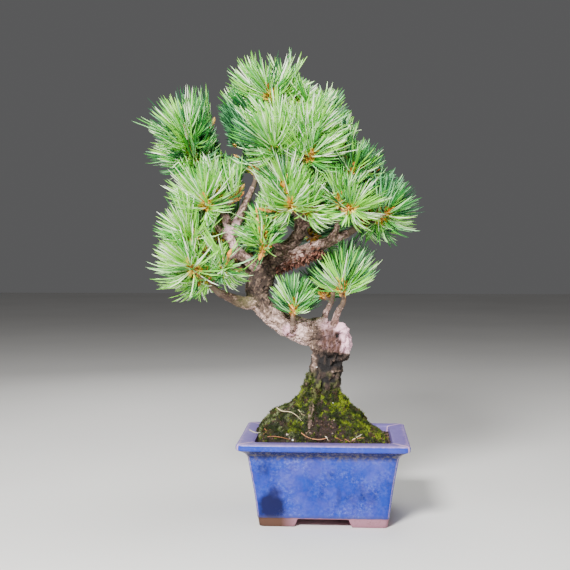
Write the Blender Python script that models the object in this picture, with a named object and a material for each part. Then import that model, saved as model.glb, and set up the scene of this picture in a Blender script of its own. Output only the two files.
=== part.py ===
"""Japanese white pine, trained as a small tree in a glazed pot.

Sizes and places are in millimetres from the middle of the pot's underside, with +X to the right,
+Y away from the viewer and +Z up. At the end the whole plant is moved so that the middle of its
own box stands over the origin.
"""

import collections
import math
import random

import bmesh
import bpy
import numpy as np

MM = 0.001
GAP = 0.3
GOLDEN_ANGLE = 137.5

# Pot: a rectangle with rounded corners, all sizes over the outside
LIP_WIDTH = 106.0
LIP_DEPTH = 82.0
LIP_CORNER = 4.0
CORNER_LOSS = 0.08
FLOOR_UNDERSIDE = 5.1
FLOOR_TOP = 9.0
ARCH_WIDTH_FOOT = 35.7
ARCH_WIDTH_TOP = 31.2
SIDE_ARCH_SHARE = 0.6
DRAIN_RADIUS = 4.5
DRAIN_OFFSET = 22.0
# The wall leans out as it rises: height, and how far in from the lip's edge it lies there
POT_OUTSIDE = [
    (0.0, 13.1), (5.7, 12.3), (17.0, 10.9), (29.5, 8.9), (41.0, 7.1), (44.5, 6.4),
    (47.0, 4.4), (48.6, 1.8), (49.3, 0.4), (50.2, 0.0), (52.2, 0.0), (53.0, 0.5), (53.3, 1.5),
]
POT_INSIDE = [(53.3, 9.3), (52.9, 10.2), (51.8, 10.6), (41.0, 11.6), (24.0, 13.6), (9.0, 16.6)]

# Soil and the mossy mound round the foot of the trunk
SOIL_TOP = 49.7
TRUNK_FOOT = SOIL_TOP + GAP
MOUND_AXIS_X = -1.0
MOUND_RIPPLE = 0.025
MOUND_RIPPLES = 7
MOUND_RIPPLE_TWIST = 1 / 9
# Height of each ring, its reach to the left, the right and the front, and how square it is
MOUND_RINGS = [
    (TRUNK_FOOT, 40.6, 41.6, 29.4, 4.5), (54.0, 40.2, 37.0, 28.6, 4.0), (58.0, 39.4, 30.5, 26.6, 3.2),
    (62.5, 37.0, 27.0, 24.0, 2.8), (67.0, 31.0, 23.6, 21.0, 2.5), (72.0, 21.5, 18.6, 17.0, 2.2),
    (78.0, 16.0, 14.6, 14.2, 2.0), (86.0, 12.4, 12.2, 12.2, 2.0),
]

# Trunk: the foot and neck by height, then the bend and the climb to the tip with its radius
STEM_SIDES = 24
STEM_HEIGHTS = (TRUNK_FOOT, 54, 58, 67, 78, 86, 98, 112)
STEM_AXIS = [(TRUNK_FOOT, -1.5, 0), (75, -1.4, 0), (86, -0.3, 0), (98, 1.2, 0), (112, 3.6, -1)]
STEM_RADII = [
    (TRUNK_FOOT, 19.0), (58, 15.2), (66, 12.8), (76, 11.2), (86, 10.3), (98, 10.0), (112, 10.6),
]
FLARE_LOBES = 0.20
FLARE_LOBES_LEAST = 0.15
FLARE_HEIGHT = 38.0
KNOB_CENTRE = (4.6, -1.0, 115.6)
KNOB_RADII = (11.8, 11.2, 10.4)
KNOB_LUMPS = 0.06
CLIMB = [
    (1.0, -1.5, 118.0, 9.8), (-15.5, -3, 120, 8.4), (-33.5, -4, 129.3, 6.2), (-43, -2, 144, 7.2),
    (-36.5, 1, 159.5, 7.0), (-19.5, 7, 177.5, 4.6), (-15.8, 8, 189, 4.0), (-20.5, 8, 213, 3.0),
    (-27.5, 5, 238.5, 2.2), (-29.8, 3, 250, 1.8),
]

# Boughs: what each grows from, its radius at the foot and tip, and the route of its middle
ROUTE_STEPS = 3
CLIMB_SIDES = 10
BOUGH_SIDES = 6
Limb = collections.namedtuple("Limb", "parent foot tip route")
BOUGHS = {
    "bough_low_left": Limb("trunk", 4.6, 2.6, [(-42, -2, 139), (-51, -8, 138), (-65, -14, 144)]),
    "bough_left": Limb("trunk", 5.0, 2.2, [(-40, 1, 158), (-56, -10, 172), (-64, -9, 193)]),
    "bough_left_low": Limb("bough_left", 2.4, 1.6, [(-55, -10, 171), (-59, -13, 166.5), (-63.5, -14, 164)]),
    "bough_left_side": Limb("bough_left", 2.0, 1.4, [(-58, -11, 176), (-64, -12.5, 182), (-70.5, -13, 189)]),
    "bough_upper_left": Limb("bough_left", 2.2, 1.5, [(-61, -9.5, 187), (-65, -2, 199), (-72, 1, 215)]),
    "bough_inner_left": Limb("bough_left", 3.0, 1.8, [(-58.5, -10, 181), (-52, -7, 196), (-45, -8, 211)]),
    "bough_right": Limb("trunk", 5.2, 2.6, [(-33, 3, 162.5), (-9, -3, 171), (3.5, -5, 177), (15, -4, 182)]),
    "bough_right_mid": Limb("bough_right", 2.2, 1.6, [(4, -5, 177.5), (7.5, -9, 184), (8.5, -12, 190)]),
    "bough_right_top": Limb("trunk", 3.2, 1.8, [(-16, 8, 187), (-4, 5, 197), (9, 1, 206)]),
    "bough_inner": Limb("trunk", 2.6, 1.7, [(-22, 6, 174), (-28.5, -2, 173.5), (-34, -9, 177)]),
    "bough_front": Limb("trunk", 2.6, 1.6, [(-16, 8, 194), (-17.5, -2, 195), (-19.5, -12, 195)]),
    "bough_centre": Limb("trunk", 2.6, 1.6, [(-20, 8, 211), (-19, -1, 214), (-19, -8, 218.5)]),
    "bough_top_right": Limb("trunk", 2.3, 1.5, [(-24, 7, 224), (-18, 6, 231), (-12.5, 6, 237)]),
    "bough_top_left": Limb("trunk", 2.3, 1.5, [(-26, 6, 230), (-33, 9, 235), (-39, 11, 240)]),
    "bough_graft_back": Limb("trunk", 2.0, 1.5, [(-2, 0, 120), (0.5, 4, 130), (3.5, 7, 136)]),
    "bough_graft": Limb("trunk", 2.4, 1.7, [(5, -4, 120), (8.5, -9, 131.5), (11, -12, 136)]),
    "bough_stub": Limb("trunk", 2.0, 1.6, [(-20, -5, 118), (-19.6, -13, 122), (-19.4, -15, 126)]),
    "bough_back_low": Limb("trunk", 3.2, 1.8, [(-41, 0, 150), (-46, 12, 154), (-52, 22, 158)]),
    "bough_back": Limb("trunk", 3.2, 1.8, [(-22, 6, 174), (-19, 16, 178), (-17, 25, 182)]),
    "bough_back_high": Limb("trunk", 2.6, 1.6, [(-20, 8, 211), (-26, 17, 214), (-33, 24, 217)]),
}

# Foliage: the limb each mass grows on from, the way its leading twig leans and how far it goes,
# the side twigs with their spread in degrees and their length, the needles' length, and the seed
Mass = collections.namedtuple("Mass", "limb lean reach side_twigs spread twig needle seed")
MASSES = {
    "foliage_low_left": Mass("bough_low_left", (-0.45, -0.1, 0.9), 12, 5, 58, 12, 27, 258),
    "foliage_left_low": Mass("bough_left_low", (-0.6, 0.05, 0.8), 13, 5, 58, 13, 26, 84),
    "foliage_left_side": Mass("bough_left_side", (-0.3, -0.1, 0.9), 9, 2, 60, 9, 25, 403),
    "foliage_left": Mass("bough_left", (-0.1, -0.2, 1.0), 9, 2, 55, 8, 23, 247),
    "foliage_upper_left": Mass("bough_upper_left", (-0.4, 0.0, 1.0), 23, 6, 54, 11, 26, 345),
    "foliage_inner_left": Mass("bough_inner_left", (0.2, -0.4, 1.0), 13, 4, 60, 11, 26, 364),
    "foliage_right_end": Mass("bough_right", (0.7, -0.1, 0.75), 12, 5, 56, 12, 27, 538),
    "foliage_right_mid": Mass("bough_right_mid", (0.1, -0.5, 0.6), 8, 2, 65, 8, 25, 15),
    "foliage_right_top": Mass("bough_right_top", (0.6, -0.1, 0.8), 14, 5, 58, 12, 26, 29),
    "foliage_inner": Mass("bough_inner", (-0.2, -0.9, 0.2), 7, 2, 60, 6, 20, 379),
    "foliage_front": Mass("bough_front", (0.0, -1.0, 0.3), 8, 3, 65, 8, 26, 403),
    "foliage_centre": Mass("bough_centre", (0.05, -0.45, 1.0), 15, 5, 60, 12, 27, 205),
    "foliage_top_right": Mass("bough_top_right", (0.65, 0.1, 0.65), 12, 4, 55, 11, 26, 364),
    "foliage_top_left": Mass("bough_top_left", (-0.8, -0.1, 0.1), 9, 4, 62, 9, 25, 205),
    "foliage_top": Mass("trunk", (-0.05, 0.0, 1.0), 12, 4, 52, 12, 26, 580),
    "foliage_graft_back": Mass("bough_graft_back", (0.0, 0.6, 0.8), 9, 2, 55, 8, 25, 15),
    "foliage_graft": Mass("bough_graft", (0.0, -0.1, 1.0), 6, 1, 35, 4, 27, 545),
    "foliage_stub": Mass("bough_stub", (0.0, -0.15, 1.0), 4, 0, 40, 4, 20, 1),
    "foliage_back_low": Mass("bough_back_low", (-0.5, 0.8, 0.4), 14, 5, 62, 12, 26, 321),
    "foliage_back": Mass("bough_back", (0.5, 0.8, 0.5), 15, 5, 65, 14, 27, 321),
    "foliage_back_high": Mass("bough_back_high", (-0.2, 0.7, 0.8), 15, 5, 62, 12, 27, 321),
}
# The leading twig's straight start, and how much twigs and shoots turn up towards the light
COLLAR = 1.2
TWIG_LIFT = 0.3
SHOOT_LIFT = 0.25
# Where side twigs leave the leading one, and how far each value strays from its own
TWIG_PLACES = (0.15, 0.9)
TWIG_STRAY = 0.08
TURN_STRAY = 30.0
SPREAD_STRAY = (0.75, 1.2)
TWIG_LENGTH_STRAY = (0.7, 1.25)
NEEDLE_STRAY = (0.9, 1.05)
SHOOT = 9.0
SHOOT_RADIUS = 1.8
SHOOT_TAPER = 0.6
LEADER_RADIUS = 1.5
TWIG_RADIUS = 1.2
TWIG_SIDES = 3
# Sprays of needles on each shoot, from the tip down, with their angles off it in degrees
SPRAYS = 7
SPRAY_ANGLES = (14, 84)
SPRAY_TURN_STRAY = 0.25
SPRAY_LENGTH_STRAY = (0.88, 1.05)
SPRAY_WIDTH = 3.8
SPRAY_THICKNESS = 1.5
SPRAY_ROOT = 0.8
SPRAY_WIDEST = 0.26
# A spray that would touch something is tried again at these shares of its length
SPRAY_LENGTHS = (1.0, 0.82, 0.66, 0.5)
TWIG_CLEARANCE = 0.4
CELL_MARGIN = 1.8
CELL_NEEDLES = 0.55

COLOURS = {
    "glaze": ((0.075, 0.16, 0.48), 0.22),
    "soil": ((0.075, 0.052, 0.035), 0.95),
    "moss": ((0.13, 0.2, 0.03), 0.95),
    "bark": ((0.17, 0.115, 0.085), 0.9),
    "needles": ((0.11, 0.27, 0.08), 0.6),
}


def unit(vector):
    vector = np.asarray(vector, float)
    return vector / np.linalg.norm(vector)


def lerp(a, b, t):
    return a + (b - a) * t


def table_value(rows, at):
    """The values of rows at this first value, straight between one row and the next."""
    columns = np.array(rows, float).T
    return [float(np.interp(at, columns[0], column)) for column in columns[1:]]


def smooth_route(route, steps):
    """Points along a smooth curve through the route's own points, of any number of values."""
    points = [np.array(point, float) for point in route]
    points = [2 * points[0] - points[1], *points, 2 * points[-1] - points[-2]]
    curve = []
    for a, b, c, d in zip(points, points[1:], points[2:], points[3:]):
        for step in range(steps):
            t = step / steps
            bend = (2 * a - 5 * b + 4 * c - d) * t * t + (3 * b - a - 3 * c + d) * t ** 3
            curve.append(b + ((c - a) * t + bend) / 2)
    curve.append(points[-2])
    return np.array(curve)


def material(name):
    colour, roughness = COLOURS[name]
    made = bpy.data.materials.get(name)
    if made is None:
        made = bpy.data.materials.new(name)
        made.use_nodes = True
        shader = made.node_tree.nodes["Principled BSDF"]
        shader.inputs["Base Color"].default_value = (*colour, 1)
        shader.inputs["Roughness"].default_value = roughness
        made.diffuse_color = (*colour, 1)
    return made


def add_object(name, mesh, finish=None):
    obj = bpy.data.objects.new(name, mesh)
    bpy.context.scene.collection.objects.link(obj)
    if finish:
        mesh.materials.clear()
        mesh.materials.append(material(finish))
    return obj


def remove(obj):
    mesh = obj.data
    bpy.data.objects.remove(obj)
    bpy.data.meshes.remove(mesh)


def mesh_of(name, points, faces):
    """A mesh from points in millimetres and faces, with its normals turned out."""
    mesh = bpy.data.meshes.new(name)
    mesh.from_pydata([tuple(MM * value for value in point) for point in points], [], faces)
    bm = bmesh.new()
    bm.from_mesh(mesh)
    bmesh.ops.recalc_face_normals(bm, faces=bm.faces)
    bm.to_mesh(mesh)
    bm.free()
    return mesh


def rings_mesh(name, rings, loop=False):
    """Skins rings of equal length. The ends are capped, or joined to each other in a loop."""
    count = len(rings[0])
    points = [point for ring in rings for point in ring]
    faces = []
    pairs = len(rings) if loop else len(rings) - 1
    for i in range(pairs):
        low, high = i * count, (i + 1) % len(rings) * count
        for k in range(count):
            n = (k + 1) % count
            faces.append((low + k, low + n, high + n, high + k))
    if not loop:
        faces.append(tuple(range(count)))
        faces.append(tuple(range(len(points) - count, len(points))))
    return mesh_of(name, points, faces)


def tube_rings(points, radii, sides):
    """Round rings along a path, each square to it and none of them twisted."""
    points = [np.array(point, float) for point in points]
    ways = [unit(b - a) for a, b in zip(points, points[1:])]
    ways = [ways[0], *(unit(a + b) for a, b in zip(ways, ways[1:])), ways[-1]]
    across = unit(np.cross(ways[0], (0.2, 0.9, 0.3)))
    rings = []
    for point, way, radius in zip(points, ways, radii):
        across = unit(across - way * (across @ way))
        other = np.cross(way, across)
        turns = [2 * math.pi * k / sides for k in range(sides)]
        rings.append([point + radius * (across * math.cos(t) + other * math.sin(t)) for t in turns])
    return rings


def tube(name, points, radii, sides):
    return add_object(name, rings_mesh(name, tube_rings(points, radii, sides)))


def boolean(obj, operation, other=None, collection=None):
    """Applies one exact Boolean to the object, and leaves the plain mesh that it makes."""
    modifier = obj.modifiers.new(operation.lower(), "BOOLEAN")
    modifier.operation = operation
    if collection:
        modifier.operand_type = "COLLECTION"
        modifier.collection = collection
    else:
        modifier.object = other
    graph = bpy.context.evaluated_depsgraph_get()
    mesh = bpy.data.meshes.new_from_object(obj.evaluated_get(graph))
    obj.modifiers.remove(modifier)
    old = obj.data
    obj.data = mesh
    bpy.data.meshes.remove(old)


def keep_largest_shell(mesh):
    """Drops loose scraps, and fills hollows by dropping the inner skins round them."""
    bm = bmesh.new()
    bm.from_mesh(mesh)
    left = set(bm.verts)
    shells = []
    while left:
        shell = []
        edge = [left.pop()]
        while edge:
            vert = edge.pop()
            shell.append(vert)
            for link in vert.link_edges:
                other = link.other_vert(vert)
                if other in left:
                    left.remove(other)
                    edge.append(other)
        shells.append(shell)
    shells.sort(key=len)
    for shell in shells[:-1]:
        bmesh.ops.delete(bm, geom=shell, context="VERTS")
    bmesh.ops.triangulate(bm, faces=bm.faces)
    bm.to_mesh(mesh)
    bm.free()


def join(name, shapes, finish):
    """One solid from shapes that run into each other."""
    base, *others = shapes
    group = bpy.data.collections.new(name)
    for other in others:
        group.objects.link(other)
    boolean(base, "UNION", collection=group)
    for other in others:
        remove(other)
    bpy.data.collections.remove(group)
    keep_largest_shell(base.data)
    base.name = name
    base.data.name = name
    base.data.materials.clear()
    base.data.materials.append(material(finish))
    return base


def subtract(obj, cutter):
    cutter.hide_render = True
    cutter.display_type = "WIRE"
    boolean(obj, "DIFFERENCE", other=cutter)
    keep_largest_shell(obj.data)


def rounded_rectangle(inset, height, steps=3):
    """A ring this far in from the lip's edge all round, with the corners rounded to match."""
    half_width = LIP_WIDTH / 2 - inset
    half_depth = LIP_DEPTH / 2 - inset
    corner = LIP_CORNER - inset * CORNER_LOSS
    ring = []
    for quarter, (sx, sy) in enumerate([(1, 1), (-1, 1), (-1, -1), (1, -1)]):
        for k in range(steps + 1):
            turn = math.radians(90 * (quarter + k / steps))
            x = sx * (half_width - corner) + corner * math.cos(turn)
            y = sy * (half_depth - corner) + corner * math.sin(turn)
            ring.append((x, y, height))
    return ring


def arch_cutter(name, along_y):
    """The gap under the pot between two feet, a little narrower at its top."""
    share = 1 if along_y else SIDE_ARCH_SHARE
    reach = LIP_WIDTH
    rings = []
    for end in (-reach, reach):
        ring = []
        for half, height in ((ARCH_WIDTH_FOOT, -1), (ARCH_WIDTH_TOP, FLOOR_UNDERSIDE)):
            ring.append((half / 2 * share, height))
        ring = [ring[0], ring[1], (-ring[1][0], ring[1][1]), (-ring[0][0], ring[0][1])]
        rings.append([(u, end, z) if along_y else (end, u, z) for u, z in ring])
    return add_object(name, rings_mesh(name, rings))


def make_pot():
    outside = [rounded_rectangle(inset, height) for height, inset in POT_OUTSIDE]
    inside = [rounded_rectangle(inset, height) for height, inset in POT_INSIDE]
    pot = add_object("pot", rings_mesh("pot", outside + inside), "glaze")
    for along_y in (True, False):
        cutter = arch_cutter("arch_cutter", along_y)
        subtract(pot, cutter)
        remove(cutter)
    for side in (-1, 1):
        ends = [(side * DRAIN_OFFSET, 0, z) for z in (FLOOR_UNDERSIDE - 2, FLOOR_TOP + 2)]
        cutter = tube("drain_cutter", ends, (DRAIN_RADIUS, DRAIN_RADIUS), 12)
        subtract(pot, cutter)
        remove(cutter)
    pot.data.materials.clear()
    pot.data.materials.append(material("glaze"))


def make_soil():
    """The soil fills the pot, clear of its wall and floor."""
    heights = (FLOOR_TOP + GAP, 24, 41, SOIL_TOP)
    wall = sorted(POT_INSIDE)
    rings = [rounded_rectangle(table_value(wall, height)[0] + GAP, height) for height in heights]
    add_object("soil", rings_mesh("soil", rings), "soil")


def stem_ring(height, grow):
    """The trunk's outline at one height, with the lobes of its root flare."""
    x, y = table_value(STEM_AXIS, height)
    radius = table_value(STEM_RADII, height)[0]
    lobes = FLARE_LOBES * max(FLARE_LOBES_LEAST, 1 - (height - TRUNK_FOOT) / FLARE_HEIGHT)
    ring = []
    for k in range(STEM_SIDES):
        turn = 2 * math.pi * k / STEM_SIDES
        wave = 0.6 * math.cos(5 * turn + 0.7) + 0.4 * math.cos(3 * turn - 1)
        reach = radius * (1 + lobes * wave) + grow
        ring.append((x + reach * math.cos(turn), y + reach * math.sin(turn), height))
    return ring


def make_mound():
    outer = []
    for height, left, right, front, power in MOUND_RINGS:
        ring = []
        for k in range(STEM_SIDES):
            turn = 2 * math.pi * k / STEM_SIDES
            across = right if math.cos(turn) > 0 else left
            wide = abs(math.cos(turn)) / across
            deep = abs(math.sin(turn)) / front
            wave = math.cos(MOUND_RIPPLES * turn + height * MOUND_RIPPLE_TWIST)
            ripple = 1 - MOUND_RIPPLE * (1 + wave)
            reach = ripple * (wide ** power + deep ** power) ** (-1 / power)
            ring.append((MOUND_AXIS_X + reach * math.cos(turn), reach * math.sin(turn), height))
        outer.append(ring)
    top = MOUND_RINGS[-1][0]
    inner = [stem_ring(height, GAP) for height in STEM_HEIGHTS[::-1] if height <= top]
    add_object("moss_mound", rings_mesh("moss_mound", outer + inner, loop=True), "moss")


def knob(grow):
    """The swollen graft, a lumpy ball at the top of the stem."""
    bm = bmesh.new()
    bmesh.ops.create_icosphere(bm, subdivisions=2, radius=1)
    for vert in bm.verts:
        way = vert.co.normalized()
        lump = math.sin(3.1 * way.x + 2.3 * way.z) * math.cos(2.7 * way.y - way.x)
        swell = 1 + KNOB_LUMPS * lump
        reach = [(radius * swell + grow) * part for radius, part in zip(KNOB_RADII, way)]
        vert.co = [MM * (centre + part) for centre, part in zip(KNOB_CENTRE, reach)]
    mesh = bpy.data.meshes.new("knob")
    bm.to_mesh(mesh)
    bm.free()
    return add_object("knob", mesh)


def trunk_shape(name, grow=0.0):
    """The trunk as one solid, or grown on all sides as a cutter for what meets it."""
    stem = add_object("stem", rings_mesh("stem", [stem_ring(z, grow) for z in STEM_HEIGHTS]))
    climb = smooth_route(CLIMB, ROUTE_STEPS)
    rise = tube("climb", climb[:, :3], climb[:, 3] + grow, CLIMB_SIDES)
    return join(name, [stem, knob(grow), rise], "bark")


def limb_points(name):
    """The middle line of a limb with its radius at each point."""
    if name == "trunk":
        return smooth_route(CLIMB, ROUTE_STEPS)
    limb = BOUGHS[name]
    line = smooth_route(limb.route, ROUTE_STEPS)
    radii = np.linspace(limb.foot, limb.tip, len(line))
    return np.column_stack([line, radii])


def limb_shape(name, grow=0.0):
    line = limb_points(name)
    return tube(name, line[:, :3], line[:, 3] + grow, BOUGH_SIDES)


def make_limbs():
    """Each bough starts inside what carries it and is cut back to 0.3 mm clear of it."""
    trunk_shape("trunk")
    cutters = {"trunk": trunk_shape("trunk_cutter", GAP)}
    for name, limb in BOUGHS.items():
        if limb.parent not in cutters:
            cutters[limb.parent] = limb_shape(limb.parent, GAP)
        bough = limb_shape(name)
        subtract(bough, cutters[limb.parent])
        if limb.parent != "trunk":
            subtract(bough, cutters["trunk"])
        bough.data.materials.clear()
        bough.data.materials.append(material("bark"))
    for cutter in cutters.values():
        remove(cutter)


def grow_twigs(mass):
    """The branching rule: a leading twig, and side twigs turned round it by the golden angle.

    Gives each twig's path, the way its shoot points and its needles' length.
    """
    rng = random.Random(mass.seed)
    line = limb_points(mass.limb)[:, :3]
    end = line[-1]
    heading = unit(line[-1] - line[-2])
    lean = unit(mass.lean)
    foot = end + heading * GAP
    collar = foot + heading * COLLAR
    bend = collar + unit(heading + lean) * mass.reach * 0.5
    head = bend + lean * mass.reach * 0.5
    across = unit(np.cross(lean, (0.31, 0.95, 0.05) if abs(lean[1]) < 0.8 else (1, 0.1, 0)))
    other = np.cross(lean, across)
    up = np.array([0, 0, 1])
    twigs = [([foot, collar, bend, head], unit(lean + up * SHOOT_LIFT), mass.needle)]
    turn = rng.uniform(0, 360)
    for k in range(mass.side_twigs):
        along = lerp(*TWIG_PLACES, (k + 0.5) / mass.side_twigs)
        along += rng.uniform(-TWIG_STRAY, TWIG_STRAY)
        if along < 0.5:
            root = lerp(collar, bend, along * 2)
        else:
            root = lerp(bend, head, along * 2 - 1)
        spread = math.radians(mass.spread * rng.uniform(*SPREAD_STRAY))
        stray = rng.uniform(-TURN_STRAY, TURN_STRAY)
        around = math.radians(turn + k * GOLDEN_ANGLE + stray)
        outward = across * math.cos(around) + other * math.sin(around)
        way = lean * math.cos(spread) + outward * math.sin(spread)
        length = mass.twig * rng.uniform(*TWIG_LENGTH_STRAY)
        elbow = root + way * length * 0.5
        lifted = unit(way + up * TWIG_LIFT)
        tip = elbow + lifted * length * 0.5
        needle = mass.needle * rng.uniform(*NEEDLE_STRAY)
        twigs.append(([root, elbow, tip], unit(lifted + up * SHOOT_LIFT), needle))
    return twigs


def grow_spray(twig, rng, count):
    """Roots and tips of the needles round one shoot, the lowest spread the widest."""
    path, axis, needle = twig
    across = unit(np.cross(axis, (0.3, 1, 0.1)))
    other = np.cross(axis, across)
    start = rng.uniform(0, 2 * math.pi)
    spray = []
    for k in range(count):
        share = (k + 0.5) / count
        spread = math.radians(lerp(*SPRAY_ANGLES, share))
        stray = rng.uniform(-SPRAY_TURN_STRAY, SPRAY_TURN_STRAY)
        around = start + k * math.radians(GOLDEN_ANGLE) + stray
        outward = across * math.cos(around) + other * math.sin(around)
        way = axis * math.cos(spread) + outward * math.sin(spread)
        root = path[-1] + axis * SHOOT * (1 - share)
        spray.append((root, way, needle * rng.uniform(*SPRAY_LENGTH_STRAY)))
    return spray


def spindle(root, way, length):
    """A three-sided spindle for a bundle of needles, its root sunk past the shoot's middle."""
    across = unit(np.cross(way, (0.23, 0.31, 0.92)))
    thick = np.cross(way, across)
    foot = root - way * SPRAY_ROOT
    middle = foot + way * length * SPRAY_WIDEST
    ridge = middle + thick * SPRAY_THICKNESS
    edges = [middle + across * SPRAY_WIDTH / 2, middle - across * SPRAY_WIDTH / 2]
    points = [foot, root + way * length, *edges, ridge]
    faces = [(end, 2 + k, 2 + (k + 1) % 3) for end in (0, 1) for k in range(3)]
    return add_object("spindle", mesh_of("spindle", points, faces))


def segment_distances(a, b, starts, ends):
    """Distance from the segment a to b to each of many others, by clamped closest points."""
    u = b - a
    v = ends - starts
    w = a - starts
    uu = u @ u
    uv = v @ u
    vv = (v * v).sum(1)
    uw = w @ u
    vw = (v * w).sum(1)
    base = np.maximum(uu * vv - uv * uv, 1e-9)
    s = np.clip((uv * vw - vv * uw) / base, 0, 1)
    t = np.clip((uv * s + vw) / np.maximum(vv, 1e-9), 0, 1)
    s = np.clip((uv * t - uw) / uu, 0, 1)
    gap = w + s[:, None] * u - t[:, None] * v
    return np.linalg.norm(gap, axis=1)


class Obstacles:
    """Round-ended rods that needles and twigs keep clear of."""

    def __init__(self):
        self.rows = []

    def add(self, points, radii, owner):
        for a, b, r, s in zip(points, points[1:], radii, radii[1:]):
            self.rows.append((a, b, max(r, s), owner))

    def clear(self, a, b, radius, owner):
        rows = [row for row in self.rows if row[3] != owner]
        starts = np.array([row[0] for row in rows])
        ends = np.array([row[1] for row in rows])
        reach = np.array([row[2] for row in rows]) + radius + GAP
        return bool((segment_distances(a, b, starts, ends) > reach).all())


def limb_obstacles():
    found = Obstacles()
    for name in ("trunk", *BOUGHS):
        line = limb_points(name)
        found.add(line[:, :3], line[:, 3], "limb")
    stem = [np.array([*table_value(STEM_AXIS, z)[:2], z]) for z in (76, 98, 112)]
    found.add(stem, [table_value(STEM_RADII, z)[0] * 1.06 for z in (76, 98, 112)], "limb")
    middle = np.array(KNOB_CENTRE)
    found.add([middle, middle + (0.1, 0, 0)], [max(KNOB_RADII) * 1.05] * 2, "limb")
    return found


def plan_masses(obstacles):
    """The twigs of every mass, leaving out a side twig that would touch a limb or another mass."""
    plans = {}
    for name, mass in MASSES.items():
        leader, *side = grow_twigs(mass)
        kept = [leader]
        for twig in side:
            path = twig[0]
            far = path[0] + (path[1] - path[0]) * 0.4
            tip = path[-1] + twig[1] * SHOOT
            pieces = [(far, path[1]), (path[1], path[2]), (path[2], tip)]
            if all(obstacles.clear(a, b, SHOOT_RADIUS, name) for a, b in pieces):
                kept.append(twig)
        for path, axis, _ in kept:
            points = [*path, path[-1] + axis * SHOOT]
            obstacles.add(points, [TWIG_RADIUS + TWIG_CLEARANCE] * len(points), name)
        plans[name] = kept
    return plans


def plan_cells(plans):
    """The space of each mass: nearer to its own middle than to any other, by its size."""
    cells = {}
    for name, twigs in plans.items():
        ends = np.array([path[-1] + axis * SHOOT * 0.7 for path, axis, _ in twigs])
        middle = ends.mean(axis=0)
        reach = CELL_NEEDLES * MASSES[name].needle
        size = np.linalg.norm(ends - middle, axis=1).mean() + reach
        cells[name] = (middle, size * size)
    return cells


def inside_cell(point, name, cells):
    middle, weight = cells[name]
    own = ((point - middle) ** 2).sum() - weight
    for other, (place, pull) in cells.items():
        if other != name:
            reach = ((point - place) ** 2).sum() - pull - own
            if reach < 2 * CELL_MARGIN * np.linalg.norm(place - middle):
                return False
    return True


def make_mass(name, twigs, cells, obstacles):
    """One solid: each twig ends in a shoot, and spindles of needles stand out of the shoots."""
    rng = random.Random(MASSES[name].seed)
    shapes = []
    for number, twig in enumerate(twigs):
        path, axis, _ = twig
        radius = TWIG_RADIUS if number else LEADER_RADIUS
        points = [*path, path[-1] + axis * SHOOT]
        radii = [radius] * (len(path) - 1) + [SHOOT_RADIUS, SHOOT_RADIUS * SHOOT_TAPER]
        shapes.append(tube("twig", points, radii, TWIG_SIDES))
        for root, way, length in grow_spray(twig, rng, SPRAYS):
            for share in SPRAY_LENGTHS:
                tip = root + way * length * share
                if not inside_cell(tip, name, cells):
                    continue
                if obstacles.clear(root, tip, SPRAY_WIDTH / 2, name):
                    shapes.append(spindle(root, way, length * share))
                    break
    join(name, shapes, "needles")


def stand_over_origin():
    """Moves every piece so that the middle of the plant's own box stands over the origin."""
    objects = list(bpy.context.scene.objects)
    corners = np.array([vert.co for obj in objects for vert in obj.data.vertices])
    middle = (corners.min(axis=0) + corners.max(axis=0)) / 2
    for obj in objects:
        obj.location = (-middle[0], -middle[1], 0)


def main():
    for obj in list(bpy.data.objects):
        bpy.data.objects.remove(obj)
    make_pot()
    make_soil()
    make_mound()
    make_limbs()
    obstacles = limb_obstacles()
    plans = plan_masses(obstacles)
    cells = plan_cells(plans)
    for name, twigs in plans.items():
        make_mass(name, twigs, cells, obstacles)
    stand_over_origin()


main()
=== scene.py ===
import math
import random

import bmesh
import bpy
import numpy as np
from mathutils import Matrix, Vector, kdtree, noise
from mathutils.bvhtree import BVHTree


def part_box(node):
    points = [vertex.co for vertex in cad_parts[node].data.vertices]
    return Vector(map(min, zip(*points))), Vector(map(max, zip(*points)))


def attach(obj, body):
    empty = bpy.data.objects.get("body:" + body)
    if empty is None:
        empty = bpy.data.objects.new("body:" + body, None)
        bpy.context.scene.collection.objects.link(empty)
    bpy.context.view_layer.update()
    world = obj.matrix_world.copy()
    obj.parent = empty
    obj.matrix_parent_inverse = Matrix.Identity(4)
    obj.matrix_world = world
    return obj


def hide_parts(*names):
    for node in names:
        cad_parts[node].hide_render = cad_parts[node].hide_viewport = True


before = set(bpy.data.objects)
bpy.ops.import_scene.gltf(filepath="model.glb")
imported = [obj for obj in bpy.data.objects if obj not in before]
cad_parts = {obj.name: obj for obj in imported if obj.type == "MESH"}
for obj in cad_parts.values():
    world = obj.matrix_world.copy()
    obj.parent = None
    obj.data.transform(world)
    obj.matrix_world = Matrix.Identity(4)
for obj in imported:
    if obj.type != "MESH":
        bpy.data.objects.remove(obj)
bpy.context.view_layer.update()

# Every length here is in millimetres from the middle of the pot's underside,
# +X to the right, +Y away from the viewer; makePiece turns them into the frame's metres
mm = 0.001
goldenAngle = math.radians(137.5)
potLow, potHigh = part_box("pot")
potMiddle = np.array([(potLow.x + potHigh.x) / 2, (potLow.y + potHigh.y) / 2, 0])
noise.seed_set(1)  # noise_vector would otherwise start from the clock


def unit(vector):
    vector = np.asarray(vector, float)
    return vector / np.linalg.norm(vector)


def lerp(a, b, t):
    return a + (b - a) * t


def ease(low, high, value):
    share = np.clip((value - low) / (high - low), 0, 1)
    return share * share * (3 - 2 * share)


def tableValue(rows, at):
    columns = np.array(rows, float).T
    return [float(np.interp(at, columns[0], column)) for column in columns[1:]]


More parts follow.
